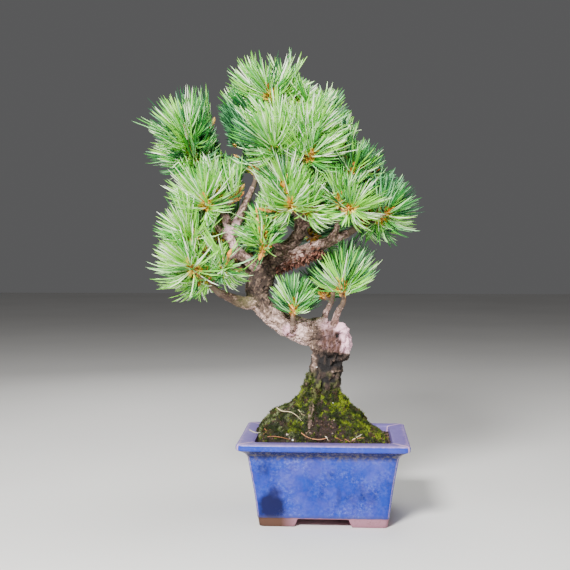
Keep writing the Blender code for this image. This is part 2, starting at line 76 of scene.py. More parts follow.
def smoothRoute(route, steps):
    # a smooth curve through the route's own points, of any number of values
    points = [np.array(point, float) for point in route]
    points = [2 * points[0] - points[1], *points, 2 * points[-1] - points[-2]]
    curve = []
    for a, b, c, d in zip(points, points[1:], points[2:], points[3:]):
        for step in range(steps):
            t = step / steps
            bend = (2 * a - 5 * b + 4 * c - d) * t * t + (3 * b - a - 3 * c + d) * t ** 3
            curve.append(b + ((c - a) * t + bend) / 2)
    curve.append(points[-2])
    return np.array(curve)


def lumps(point, size, seed=0.0):
    return noise.noise(Vector(point) / size + Vector((seed, seed * 0.7, seed * 1.3)))


def lumpsAt(points, size, seed):
    return np.array([lumps(point, size, seed) for point in points])


def turnedTo(a, b, angle):
    # the direction a, turned by this angle towards b, which is square to it
    return a * math.cos(angle) + b * math.sin(angle)


# Making meshes
def addAttribute(mesh, title, values):
    values = np.asarray(values)
    kind = "FLOAT_VECTOR" if values.ndim == 2 else "INT" if values.dtype.kind == "i" else "FLOAT"
    made = mesh.attributes.new(title, kind, "POINT")
    made.data.foreach_set("vector" if values.ndim == 2 else "value", values.ravel())


def addObject(name, data):
    made = bpy.data.objects.new(name, data)
    bpy.context.scene.collection.objects.link(made)
    return made


def makePiece(name, points, faces, finishes=(), edges=(), values=None):
    mesh = bpy.data.meshes.new(name)
    placed = np.asarray(points, float) * mm + potMiddle
    mesh.from_pydata(placed.tolist(), list(edges), faces)
    for title, numbers in (values or {}).items():
        addAttribute(mesh, title, numbers)
    for finish in finishes:
        mesh.materials.append(finish)
    mesh.shade_smooth()
    return addObject(name, mesh)


def settle(piece):
    # the evaluated shape becomes the piece's plain mesh
    graph = bpy.context.evaluated_depsgraph_get()
    mesh = bpy.data.meshes.new_from_object(piece.evaluated_get(graph))
    piece.modifiers.clear()
    old = piece.data
    piece.data = mesh
    bpy.data.meshes.remove(old)
    mesh.name = piece.name
    return piece


def discard(piece):
    mesh = piece.data
    bpy.data.objects.remove(piece)
    bpy.data.meshes.remove(mesh)


def pointsOf(piece):
    points = np.empty(len(piece.data.vertices) * 3)
    piece.data.vertices.foreach_get("co", points)
    return (points.reshape(-1, 3) - potMiddle) / mm


def normalsOf(piece):
    normals = np.empty(len(piece.data.vertices) * 3, np.float32)
    piece.data.vertex_normals.foreach_get("vector", normals)
    return normals.reshape(-1, 3).astype(float)


def movePoints(piece, points):
    piece.data.vertices.foreach_set("co", (points * mm + potMiddle).ravel())
    piece.data.update()


def turnOut(piece):
    form = bmesh.new()
    form.from_mesh(piece.data)
    bmesh.ops.recalc_face_normals(form, faces=form.faces)
    form.to_mesh(piece.data)
    form.free()


def ringSkin(rings):
    # quads between rings of equal length, with the two ends closed
    count = len(rings[0])
    points = [point for ring in rings for point in ring]
    faces = []
    for i in range(len(rings) - 1):
        low, high = i * count, (i + 1) * count
        for k in range(count):
            n = (k + 1) % count
            faces.append((low + k, low + n, high + n, high + k))
    faces.append(tuple(range(count))[::-1])
    faces.append(tuple(range(len(points) - count, len(points))))
    return points, faces


def joinShells(shells):
    points, faces = [], []
    for shellPoints, shellFaces in shells:
        start = len(points)
        points.extend(shellPoints)
        faces.extend(tuple(start + k for k in face) for face in shellFaces)
    return points, faces


def frames(line):
    # way, across and other at each point of a line, with no twist along it
    ways = [unit(b - a) for a, b in zip(line, line[1:])]
    ways = [ways[0], *(unit(a + b) for a, b in zip(ways, ways[1:])), ways[-1]]
    across = unit(np.cross(ways[0], (0.2, 0.9, 0.3)))
    found = []
    for way in ways:
        across = unit(across - way * (across @ way))
        found.append((way, across, np.cross(way, across)))
    return found


def tubeShell(line, radii, sides, uneven=0.0, seed=0.0):
    rings = []
    for point, radius, (_, across, other) in zip(line, radii, frames(line)):
        ring = []
        for k in range(sides):
            out = turnedTo(across, other, 2 * math.pi * k / sides)
            swell = 1 + uneven * lumps(point + out * radius, 7.0, seed)
            ring.append(point + out * radius * swell)
        rings.append(ring)
    return ringSkin(rings)


# Making nodes and materials
def addNode(tree, kind, inputs=None, stops=None, **settings):
    # adds a node, sets it, links what is given as a socket and gives back its first live output
    node = tree.nodes.new(kind)
    for key, value in settings.items():
        setattr(node, key, value)
    live = [socket for socket in node.inputs if socket.enabled]
    for key, value in (inputs or {}).items():
        socket = live[key] if isinstance(key, int) else next(s for s in live if s.name == key)
        if isinstance(value, bpy.types.NodeSocket):
            tree.links.new(value, socket)
        else:
            socket.default_value = value
    if stops:
        ramp = node.color_ramp
        while len(ramp.elements) < len(stops):
            ramp.elements.new(1.0)
        for element, (position, colour) in zip(ramp.elements, stops):
            element.position = position
            element.color = colour if isinstance(colour, tuple) else toLinear(colour)
    outputs = [socket for socket in node.outputs if socket.enabled]
    return outputs[0] if outputs else node


def toLinear(hexColour):
    parts = [int(hexColour[k:k + 2], 16) / 255 for k in (1, 3, 5)]
    linear = [c / 12.92 if c <= 0.04045 else ((c + 0.055) / 1.055) ** 2.4 for c in parts]
    return (*linear, 1.0)


def perMm(size):
    # a texture's scale for features of this size in millimetres, on coordinates in metres
    return 1 / (size * mm)


def startMaterial(name, **sockets):
    material = bpy.data.materials.new(name)
    material.use_nodes = True
    inputs = material.node_tree.nodes["Principled BSDF"].inputs
    for title, value in sockets.items():
        inputs[title.replace("_", " ")].default_value = value
    return material, material.node_tree


def dress(tree, colour, relief, strength, depth):
    # colour and relief, its depth in millimetres, go to the material's shader
    inputs = tree.nodes["Principled BSDF"].inputs
    tree.links.new(colour, inputs["Base Color"])
    bump = addNode(tree, "ShaderNodeBump", {"Strength": strength, "Distance": depth * mm, "Height": relief})
    tree.links.new(bump, inputs["Normal"])


def plainFinishes(name, colours, roughness, shine=0.3):
    # plain colours, dealt out by spray: waxy needles, their pale bands, dry scales, moss leaves and grit
    return [startMaterial(name + " " + str(k + 1), Roughness=roughness, IOR=1.45,
                          Specular_IOR_Level=shine, Base_Color=toLinear(colour))[0]
            for k, colour in enumerate(colours)]


def meshValues(tree, *titles):
    # object coordinates in metres, their height, and the mesh's own values of these names
    place = addNode(tree, "ShaderNodeTexCoord").node.outputs["Object"]
    height = addNode(tree, "ShaderNodeSeparateXYZ", {"Vector": place}).node.outputs["Z"]
    return place, height, *(addNode(tree, "ShaderNodeAttribute", attribute_name=title).node.outputs["Fac"]
                            for title in titles)


# Glazed stoneware: a glassy coat over clay, with dark navy painted shade under the lip and painted shadows on
# the front, pale and worn where it ran thin
glaze = {
    "paintedShadeBlue": "#01063e", "deep": "#030c4c", "body": "#0b2b94", "light": "#1b3ba6", "lilac": "#6b60b8",
    "wornLilac": "#937cb0", "wornPink": "#e5bbcd", "rim": "#5b4a7a", "crackle": "#aab8f7",
    "ochre": "#7b7159", "lowEdge": "#3c3a55",
    # size in millimetres, detail and roughness of each pattern in the coat
    "patterns": {"mottle": (17.0, 5.0, 0.6), "drift": (20.0, 4.0, 0.65), "flecks": (1.8, 4.0, 0.65),
                 "fields": (13.0, 3.0, 0.5), "wobble": (6.0, 3.0, 0.5), "specks": (2.6, 4.0, 0.7),
                 "peel": (1.1, 4.0, 0.5)},
    "streakSize": 5.0, "streakShare": 0.35, "rimShare": 0.75, "wander": 1.6,
    # what each mask starts and ends at, and how much it covers there; heights in metres
    "masks": {"drift": (0.45, 0.7, 0.0, 0.36), "flecks": (0.42, 0.72, 0.0, 1.0),
              "fields": (0.4, 0.7, 0.15 * 0.21, 0.21), "specks": (0.46, 0.62, 0.0, 1.0),
              "lip": (47.5 * mm, 50 * mm, 0.0, 0.55), "cove": (40.5 * mm, 49.4 * mm, 0.0, 1.0),
              "worn": (0.58, 1.15, 0.0, 1.0), "lowBand": (6.55 * mm, 8.75 * mm, 0.7, 0.0),
              "bare": (6.4 * mm, 6.7 * mm, 1.0, 0.0)},
    # strength of the painted shade line under the lip and of the dirt there, and how each rises and ends in
    # the cove
    "lipShade": (0.88, 0.18, 0.62, 0.92, 1.0), "dirt": (0.5, 0.0, 0.5, 0.9, 1.0),
    # middle, half sizes and strength of the painted shadows on the front, darker patches
    "patches": [((-31.5, -29.5, 12.5), (9.0, 9.0, 11.0), 0.98), ((-30.0, -29.5, 18.0), (4.5, 9.0, 9.0), 0.7),
                ((9.8, -31.0, 20.5), (2.0, 6.0, 7.5), 0.35)],
}
clay = {"tan": "#523425", "pink": "#9a6b79", "dark": "#483930", "gritSize": 1.4, "across": (-26, -16)}


def paintedShadowMask(tree, place, wobble, middle, half, share):
    # as strong as its share inside an ellipsoid on the piece, nought outside it, with a ragged edge
    middle = [value * mm + shift for value, shift in zip(middle, potMiddle)]
    moved = addNode(tree, "ShaderNodeVectorMath", {0: place, 1: middle}, operation="SUBTRACT")
    scaled = addNode(tree, "ShaderNodeVectorMath", {0: moved, 1: [value * mm for value in half]},
                     operation="DIVIDE")
    reach = addNode(tree, "ShaderNodeVectorMath", {0: scaled}, operation="LENGTH")
    ragged = addNode(tree, "ShaderNodeMath", {0: wobble, 1: 0.9, 2: reach}, operation="MULTIPLY_ADD")
    return addNode(tree, "ShaderNodeMapRange",
                   {"Value": ragged, "From Min": 1.05, "From Max": 1.6, "To Min": share, "To Max": 0.0})


def makeGlaze():
    material, tree = startMaterial("Glazed stoneware", IOR=1.5, Specular_IOR_Level=0.28)
    place, height, thin, rimTop = meshValues(tree, "thin", "rimTop")
    patterns = {}
    for title, (size, detail, roughness) in glaze["patterns"].items():
        patterns[title] = addNode(tree, "ShaderNodeTexNoise", {
            "Vector": place, "Scale": perMm(size), "Detail": detail, "Roughness": roughness})

    # slow mottling of the glaze, with soft runs down the wall
    stretched = addNode(tree, "ShaderNodeMapping", {"Vector": place, "Scale": (1, 1, 0.25)})
    runs = addNode(tree, "ShaderNodeTexNoise", {
        "Vector": stretched, "Scale": perMm(glaze["streakSize"]), "Detail": 3.0})
    tone = addNode(tree, "ShaderNodeMix", {
        "Factor": glaze["streakShare"], "A": patterns["mottle"], "B": runs}, data_type="FLOAT")
    colour = addNode(tree, "ShaderNodeValToRGB", {"Fac": tone}, stops=[
        (0.28, glaze["deep"]), (0.46, glaze["body"]), (0.68, glaze["light"])])

    # the edges run thin in broken lines, and the coat stops short of the feet in a wavy one
    worn = addNode(tree, "ShaderNodeMath", {0: patterns["specks"], 1: 0.5, 2: thin}, operation="MULTIPLY_ADD")
    wave = addNode(tree, "ShaderNodeMath", {0: patterns["wobble"], 1: glaze["wander"] * mm, 2: height},
                   operation="MULTIPLY_ADD")
    masks = {}
    sources = {**patterns, "lip": height, "cove": height, "worn": worn, "lowBand": wave, "bare": wave}
    for title, (start, end, least, most) in glaze["masks"].items():
        masks[title] = addNode(tree, "ShaderNodeMapRange", {
            "Value": sources[title], "From Min": start, "From Max": end, "To Min": least, "To Max": most})
    # the dark line under the lip is painted shade; the dirt there comes in specks
    for title in ("lipShade", "dirt"):
        strength, *edges = glaze[title]
        grey = (strength, strength, strength, 1.0)
        stops = list(zip(edges, ("#000000", grey, grey, "#000000")))
        masks[title] = addNode(tree, "ShaderNodeValToRGB", {"Fac": masks["cove"]}, stops=stops)

    # pale crackle gathered in fields, olive dirt under the lip, and a rim rubbed grey-lilac
    crackle = addNode(tree, "ShaderNodeMath", {0: masks["flecks"], 1: masks["fields"]}, operation="MULTIPLY")
    dirt = addNode(tree, "ShaderNodeMath", {0: masks["dirt"], 1: masks["specks"]}, operation="MULTIPLY")
    rim = addNode(tree, "ShaderNodeMath", {0: rimTop, 1: glaze["rimShare"]}, operation="MULTIPLY")
    rubbed = addNode(tree, "ShaderNodeMix", {
        "Factor": patterns["specks"], "A": toLinear(glaze["rim"]), "B": toLinear(glaze["wornLilac"])},
        data_type="RGBA")
    # painted shadows: dark navy patches on the front of the pot
    paintedShadows = [(paintedShadowMask(tree, place, patterns["wobble"], *patch), "paintedShadeBlue") for patch in glaze["patches"]]
    for amount, paint in ((masks["drift"], "lilac"), (crackle, "crackle"), *paintedShadows, (masks["lip"], "light"),
                          (masks["lipShade"], "paintedShadeBlue"), (dirt, "ochre"), (rim, rubbed),
                          (masks["worn"], "wornPink"), (masks["lowBand"], "lowEdge"),
                          (masks["bare"], clayColour(tree, place))):
        paint = toLinear(glaze[paint]) if isinstance(paint, str) else paint
        colour = addNode(tree, "ShaderNodeMix", {"Factor": amount, "A": colour, "B": paint}, data_type="RGBA")

    gloss = addNode(tree, "ShaderNodeMapRange", {"Value": crackle, "To Min": 0.24, "To Max": 0.6})
    for amount, dull in ((rim, 0.5), (masks["bare"], 0.85)):
        gloss = addNode(tree, "ShaderNodeMix", {"Factor": amount, "A": gloss, "B": dull}, data_type="FLOAT")
    tree.links.new(gloss, tree.nodes["Principled BSDF"].inputs["Roughness"])
    dress(tree, colour, patterns["peel"], 0.25, 0.12)  # orange peel and pinholes
    return material


def clayColour(tree, place):
    # bare clay, ochre at the left front and pinkish grey towards the right
    x = addNode(tree, "ShaderNodeSeparateXYZ", {"Vector": place}).node.outputs["X"]
    left, right = (potMiddle[0] + value * mm for value in clay["across"])
    side = addNode(tree, "ShaderNodeMapRange", {"Value": x, "From Min": left, "From Max": right})
    ground = addNode(tree, "ShaderNodeMix", {
        "Factor": side, "A": toLinear(clay["tan"]), "B": toLinear(clay["pink"])}, data_type="RGBA")
    grit = addNode(tree, "ShaderNodeTexNoise", {
        "Vector": place, "Scale": perMm(clay["gritSize"]), "Detail": 4.0, "Roughness": 0.7})
    gritEdge = addNode(tree, "ShaderNodeMapRange", {
        "Value": grit, "From Min": 0.56, "From Max": 0.75, "To Max": 0.6})
    return addNode(tree, "ShaderNodeMix", {
        "Factor": gritEdge, "A": ground, "B": toLinear(clay["dark"])}, data_type="RGBA")


def makeClay():
    # unglazed stoneware: matt, sandy, with dark grog
    material, tree = startMaterial("Bare stoneware", Roughness=0.85)
    place, _ = meshValues(tree)
    grain = addNode(tree, "ShaderNodeTexNoise", {"Vector": place, "Scale": perMm(0.7), "Detail": 4.0})
    dress(tree, clayColour(tree, place), grain, 0.5, 0.15)
    return material


# The pot: a rectangle with a moulded lip on four feet, a little uneven as thrown clay is
potForm = {
    "lipWidth": 106.0, "lipDepth": 82.0, "lipCorner": 4.0, "cornerLoss": 0.08,
    # heights and insets of the wall's outside, its inside and the rounded foot under it
    "outside": [(0, 13.1), (5.7, 12.3), (17, 10.9), (29.5, 8.9), (41, 7.1), (44.5, 6.4), (47, 4.4),
                (48.6, 1.8), (49.3, 0.4), (50.2, 0), (52.2, 0), (53, 0.5), (53.3, 1.5)],
    "inside": [(53.3, 9.3), (52.9, 10.2), (51.8, 10.6), (41, 11.6), (24, 13.6), (9, 16.6)],
    "foot": [(5.1, 13.3), (5.15, 12.6), (5.5, 12.35), (5.9, 12.15), (6.3, 12.12)], "footTop": 6.8,
    "underside": 5.1, "archFoot": 35.7, "archTop": 31.2, "sideArchShare": 0.6,
    "cornerSteps": 8, "wallSteps": (38, 30), "rowSteps": 4,
    "uneven": 0.35, "unevenSize": 26.0, "drainRadius": 4.5, "drainOffset": 22.0, "clayStep": 0.15,
    # heights of a foot's rows and how far each shrinks, and its corners: side, way and radius
    "footRows": [(0.0, 0.5), (0.12, 0.25), (0.45, 0.0), (2.6, 0.0), (4.6, 0.0), (5.6, 0.0)],
    "footCorners": [(-1, -1, 180, 0.8), (1, -1, 270, 0.8), (1, 1, 0, 3.0), (-1, 1, 90, 0.8)],
    # where the coat wore thin: heights of the lip's edges, how soft and how strong, and the corners
    # below and on the lip; then where the outside ends, the lip starts and the rim's top starts
    "edgeWear": [(52.9, 0.8, 0.52), (49.2, 0.5, 0.35)], "cornerWear": (0.55, 0.75),
    "outsideInset": 2.5, "lipFrom": 46, "rimFrom": (49, 1.2),
}


def potRing(inset, height):
    # points of a rounded rectangle, with how near each is to the middle of a corner
    corner = potForm["lipCorner"] - inset * potForm["cornerLoss"]
    halfWidth = potForm["lipWidth"] / 2 - inset - corner
    halfDepth = potForm["lipDepth"] / 2 - inset - corner
    steps = potForm["cornerSteps"]
    arcs = []
    for quarter, (sx, sy) in enumerate(((1, 1), (-1, 1), (-1, -1), (1, -1))):
        arc = []
        for k in range(steps + 1):
            turn = math.radians(90 * (quarter + k / steps))
            x, y = sx * halfWidth + corner * math.cos(turn), sy * halfDepth + corner * math.sin(turn)
            arc.append(np.array((x, y, height)))
        arcs.append(arc)
    ring, edge = [], []
    for arc, following, between in zip(arcs, arcs[1:] + arcs[:1], potForm["wallSteps"] * 2):
        ring += [*arc, *(lerp(arc[-1], following[0], k / between) for k in range(1, between))]
        edge += [max(0.0, 1 - abs(2 * k / steps - 1) * 1.6) for k in range(steps + 1)]
        edge += [0.0] * (between - 1)
    return ring, edge


def thrown(point):
    # the same slight unevenness for every piece of the pot, fading towards the flat feet
    size = potForm["unevenSize"]
    drift = [lumps(point, size, seed) * potForm["uneven"] for seed in (3.1, 17.7, 29.3)]
    drift[2] *= 0.6 * float(ease(8, 45, point[2]))
    return point + np.array(drift) * float(ease(-2, 12, point[2]))


def makePot(glazeFinish, clayFinish):
    outside = smoothRoute(potForm["outside"], potForm["rowSteps"])
    outside = [row for row in outside if row[0] > potForm["footTop"]]
    inside = smoothRoute(potForm["inside"], potForm["rowSteps"])
    rings, thin, rimTop = [], [], []
    for height, inset in [*potForm["foot"], *outside, *inside]:
        ring, edge = potRing(inset, height)
        rings.append([thrown(point) for point in ring])
        worn = max(strength * math.exp(-((height - level) / soft) ** 2)
                   for level, soft, strength in potForm["edgeWear"]) * (inset < potForm["outsideInset"])
        corner = potForm["cornerWear"][int(height >= potForm["lipFrom"])]
        thin.extend(max(worn, corner * value) for value in edge)
        rimLevel, rimInset = potForm["rimFrom"]
        rimTop.extend([float(height > rimLevel and inset > rimInset)] * len(ring))
    body = makePiece("glazed_pot", *ringSkin(rings), [glazeFinish, clayFinish],
                     values={"thin": np.array(thin), "rimTop": np.array(rimTop)})
    for side in (-1, 1):
        ends = [np.array((side * potForm["drainOffset"], 0, z)) for z in (2.0, 12.0)]
        drain = makePiece("drain", *tubeShell(ends, (potForm["drainRadius"],) * 2, 32), [clayFinish])
        turnOut(drain)
        cut = body.modifiers.new("drain", "BOOLEAN")
        cut.operation = "DIFFERENCE"
        cut.object = drain
        settle(body)
        discard(drain)
    feet = [footShell(sx, sy) for sx in (-1, 1) for sy in (-1, 1)]
    feet = makePiece("feet", *joinShells(feet), [clayFinish])
    turnOut(feet)
    joined = joinPieces("glazed_pot", [body, feet])
    for polygon in joined.data.polygons:
        if polygon.center.z / mm < potForm["underside"] + 0.02 and polygon.normal.z < -0.9:
            polygon.material_index = joined.data.materials.find(clayFinish.name)
    joined.data.set_sharp_from_angle(angle=math.radians(50))
    return joined


def footShell(sx, sy):
    # one foot: a block between two arches, its outer faces under the wall, its edges rubbed round
    rings = []
    for height, shrink in potForm["footRows"]:
        inset = tableValue(potForm["outside"], height)[0] + potForm["clayStep"]
        arch = lerp(potForm["archFoot"], potForm["archTop"], min(height / potForm["underside"], 1)) / 2
        xs = (arch + shrink, potForm["lipWidth"] / 2 - inset - shrink)
        ys = (arch * potForm["sideArchShare"] + shrink, potForm["lipDepth"] / 2 - inset - shrink)
        ring = []
        for fx, fy, start, corner in potForm["footCorners"]:
            x, y = xs[fx > 0] - fx * corner, ys[fy > 0] - fy * corner
            for k in range(6):
                turn = math.radians(start + 18 * k)
                ring.append((x + corner * math.cos(turn), y + corner * math.sin(turn)))
        rings.append([thrown(np.array((sx * x, sy * y, height))) for x, y in ring])
    return ringSkin(rings)


def joinPieces(name, pieces):
    # one mesh from several, each face keeping its own finish
    with bpy.context.temp_override(active_object=pieces[0], selected_editable_objects=pieces):
        bpy.ops.object.join()
    pieces[0].name = name
    pieces[0].data.name = name
    return pieces[0]


# Soil and mound: rings from the wall inwards, and a flared heap round the foot of the trunk
soilForm = {
    "bottom": 9.3, "top": 49.7, "gap": 0.3, "rings": 26, "rough": 0.9,
    "dark": "#2c2019", "brown": "#574334", "grey": "#827567",
}
moundForm = {
    "axisX": -1.0, "sides": 220, "rows": 78, "foot": 49.0, "crown": 90.0, "span": (50.0, 86.0),
    # how it draws in past its span and under the trunk, where it rises from the soil, and its grain:
    # strength, size and seed
    "taper": 0.8, "tuck": (68, 84, 3.6), "rise": (49.5, 55), "sunk": 0.9,
    "grain": [(2.1, 7.5, 1.1), (1.9, 3.4, 2.2), (0.9, 1.5, 3.3)],
    # height, reach to the left, right and front, and how square the outline is
    "rings": [(50, 40.6, 41.6, 29.4, 4.5), (54, 40.2, 37, 28.6, 4.0), (58, 39.4, 30.5, 26.6, 3.2),
              (62.5, 37, 27, 24, 2.8), (67, 31, 23.6, 21, 2.5), (72, 21.5, 18.6, 17, 2.2),
              (78, 16, 14.6, 14.2, 2), (86, 12.4, 12.2, 12.2, 2)],
    # roots under the moss: angle in degrees at the top and the foot, width, how proud they stand
    "roots": [(-118, -106, 3.2, 1.9), (-150, -146, 3.8, 2.2), (178, 172, 4.2, 2.0), (-82, -72, 3.0, 1.0),
              (-52, -48, 3.6, 1.9), (-8, -14, 4.0, 1.8), (38, 44, 3.8, 1.8), (86, 92, 3.8, 1.8),
              (134, 138, 3.8, 1.8)],
}


def makeSoilFinish():
    # potting grit: crumbly, almost black between grey and brown grains
    material, tree = startMaterial("Potting grit", Roughness=0.95)
    place, _ = meshValues(tree)
    grains = addNode(tree, "ShaderNodeTexVoronoi", {"Vector": place, "Scale": perMm(1.6)})
    grey = addNode(tree, "ShaderNodeSeparateColor", {"Color": grains.node.outputs["Color"]})
    colour = addNode(tree, "ShaderNodeValToRGB", {"Fac": grey}, stops=[
        (0.0, soilForm["dark"]), (0.6, soilForm["brown"]), (0.97, soilForm["grey"])])
    height = addNode(tree, "ShaderNodeMath", {0: 1.0, 1: grains}, operation="SUBTRACT")
    dress(tree, colour, height, 0.8, 0.5)
    return material


def makeSoil(finish):
    wall = sorted(potForm["inside"])
    rings = []
    for height in (soilForm["bottom"], 24, 41, soilForm["top"]):
        inset = tableValue(wall, height)[0] + soilForm["gap"]
        rings.append(potRing(inset, height)[0])
    edge = rings[-1]
    for step in range(1, soilForm["rings"]):
        share = 1 - step / soilForm["rings"]
        rings.append([np.array((x * share, y * share, z)) for x, y, z in edge])
    for ring in rings[3:]:
        for k, point in enumerate(ring):
            rough = soilForm["rough"] * (lumps(point, 4.0, 5.5) + 0.6 * lumps(point, 1.6, 8.5))
            ring[k] = point + np.array((0, 0, min(rough, 1.0) - 0.1))
    return makePiece("potting_soil", *ringSkin(rings), [finish])


def moundReach(turn, height):
    left, right, front, power = tableValue(moundForm["rings"], height)
    across = right if math.cos(turn) > 0 else left
    wide = abs(math.cos(turn)) / across
    deep = abs(math.sin(turn)) / front
    return (wide ** power + deep ** power) ** (-1 / power)


def rootSwell(turn, height, reach):
    # how far a buried root lifts the moss here
    low, high = moundForm["span"]
    down = (high - height) / (high - low)
    swell = 0.0
    for top, foot, width, proud in moundForm["roots"]:
        middle = math.radians(lerp(top, foot, min(max(down, 0), 1)))
        middle += 0.09 * math.sin(height / 4.1 + top)
        apart = math.atan2(math.sin(turn - middle), math.cos(turn - middle)) * reach
        swell += proud * math.exp(-(apart / width) ** 2)
    return swell


def makeMound(finish):
    low, high = moundForm["span"]
    tuckFrom, tuckTo, tuck = moundForm["tuck"]
    rings = []
    for row in range(moundForm["rows"]):
        height = lerp(moundForm["foot"], moundForm["crown"], row / (moundForm["rows"] - 1))
        fade = float(ease(*moundForm["rise"], height))
        ring = []
        for k in range(moundForm["sides"]):
            turn = 2 * math.pi * k / moundForm["sides"]
            reach = moundReach(turn, min(max(height, low), high))
            reach -= max(0, height - high) * moundForm["taper"]
            reach -= tuck * float(ease(tuckFrom, tuckTo, height))
            reach += (rootSwell(turn, height, reach) - moundForm["sunk"]) * fade
            point = np.array((moundForm["axisX"] + reach * math.cos(turn), reach * math.sin(turn), height))
            grain = sum(strength * lumps(point, size, seed) for strength, size, seed in moundForm["grain"])
            reach += grain * (0.25 + 0.75 * fade)
            ring.append((moundForm["axisX"] + reach * math.cos(turn), reach * math.sin(turn), height))
        rings.append(ring)
    return makePiece("moss_ground", *ringSkin(rings), [finish])


# Bark: dead outer cork split into plates by dark cracks, flaking in tan scales on the trunk, with near-black
# painted shade in its hollows and recessed fissures
bark = {
    "crack": "#19110e", "dark": "#372921", "middle": "#6c5749", "pale": "#a88b7f", "flake": "#e2c0b9",
    "callus": "#f7c5d4", "callusDeep": "#6a3e34", "damp": "#100b0a", "algae": "#565c24", "grainSize": 0.7,
}


def makeBark(name, warm):
    material, tree = startMaterial(name, Roughness=0.9)
    place, _, plate, own, callus, fleshy, damp, algae = meshValues(
        tree, "plate", "tone", "callus", "flesh", "damp", "algae")
    fine = addNode(tree, "ShaderNodeTexNoise", {
        "Vector": place, "Scale": perMm(bark["grainSize"]), "Detail": 4.0, "Roughness": 0.7})
    broad = addNode(tree, "ShaderNodeTexNoise", {"Vector": place, "Scale": perMm(6.0), "Detail": 3.0})
    tone = addNode(tree, "ShaderNodeMath", {0: fine, 1: 0.7, 2: own}, operation="MULTIPLY_ADD")
    tone = addNode(tree, "ShaderNodeMath", {0: broad, 1: 0.5, 2: tone}, operation="MULTIPLY_ADD")
    tone = addNode(tree, "ShaderNodeMapRange", {"Value": tone, "From Min": 0.35, "From Max": 1.45})
    colour = addNode(tree, "ShaderNodeValToRGB", {"Fac": tone}, stops=[
        (0.05, bark["dark"]), (0.4, bark["middle"]), (0.7, bark["pale"]), (0.95, bark["flake"])])
    blush = addNode(tree, "ShaderNodeMath", {0: fine, 1: 0.9, 2: fleshy}, operation="MULTIPLY_ADD")
    blush = addNode(tree, "ShaderNodeMapRange", {"Value": blush, "From Min": 0.4, "From Max": 1.5})
    paints = {title: toLinear(bark[title]) for title in ("callusDeep", "callus", "crack", "algae", "damp")}
    flesh = addNode(tree, "ShaderNodeMix", {
        "Factor": blush, "A": paints["callusDeep"], "B": paints["callus"]}, data_type="RGBA")
    sink = addNode(tree, "ShaderNodeMath", {0: plate, 1: -0.7, 2: 0.7}, operation="MULTIPLY_ADD")
    # the last, near-black mix is painted shade in hollows and recessed fissures
    for amount, paint, blend in ((callus, flesh, "MIX"), (warm, paints["callus"], "MULTIPLY"),
                                 (sink, paints["crack"], "MIX"), (algae, paints["algae"], "MIX"),
                                 (damp, paints["damp"], "MIX")):
        colour = addNode(tree, "ShaderNodeMix", {"Factor": amount, "A": colour, "B": paint},
                         data_type="RGBA", blend_type=blend)
    dress(tree, colour, fine, 0.6, 0.25)
    return material


# The trunk: the foot and neck by height, then the bend and the climb to the tip with its radius
trunkForm = {
    "sides": 72, "axis": [(50, -1.5, 0), (75, -1.4, 0), (86, -0.3, 0), (98, 1.2, 0), (112, 3.6, -1)],
    "radii": [(50, 19), (58, 15.2), (66, 12.8), (76, 11.2), (86, 10.3), (98, 10), (112, 10.6)],
    "lobes": 0.2, "leastLobes": 0.15, "flare": 38,
    "climb": [(1, -1.5, 118, 9.8), (-15.5, -3, 120, 8.4), (-33.5, -4, 129.3, 6.2), (-43, -2, 144, 7.2),
              (-36.5, 1, 159.5, 7), (-19.5, 7, 177.5, 4.6), (-15.8, 8, 189, 4), (-20.5, 8, 213, 3),
              (-27.5, 5, 238.5, 2.2), (-29.8, 3, 250, 1.8)],
    # swellings of the callus: middle and half sizes
    "swellings": [((4.6, -1, 115.6), (11.4, 10.8, 10)), ((9.5, -5, 119.5), (6.6, 5.6, 5.6)),
                  ((13, -1, 112), (4.6, 6.5, 7)), ((3, -8, 112.5), (5.6, 4.2, 5.2)),
                  ((-4, -5.5, 110.5), (5.2, 5.2, 4.2)), ((8.6, -7.8, 109), (4.6, 3.4, 4.6)),
                  ((12.6, -3, 105), (3.4, 4.6, 4.4)), ((1, 6, 113), (6.5, 5.5, 6)),
                  ((9, 5, 118), (5, 5, 5)), ((-22.1, -8.6, 120.5), (3.6, 2.8, 3.2)),
                  ((-37, -5, 152), (5, 4, 6)), ((-30, -5, 166), (4.5, 3.4, 4))],
    # surface roots over the mound, each point with its radius
    "roots": [[(-2, -6.5, 93, 3.4), (-4.6, -10.6, 86, 2.7), (-6.6, -14.2, 77, 2.2), (-8, -18.4, 69, 2.1),
               (-9.2, -23.4, 61, 1.8), (-11, -27, 53, 1.2)],
              [(-6, -3, 94, 3.6), (-10.4, -5.6, 86, 2.6), (-14.0, -8.0, 79, 1.7), (-17, -9, 73, 1.0)]],
    "voxel": 0.47,
}
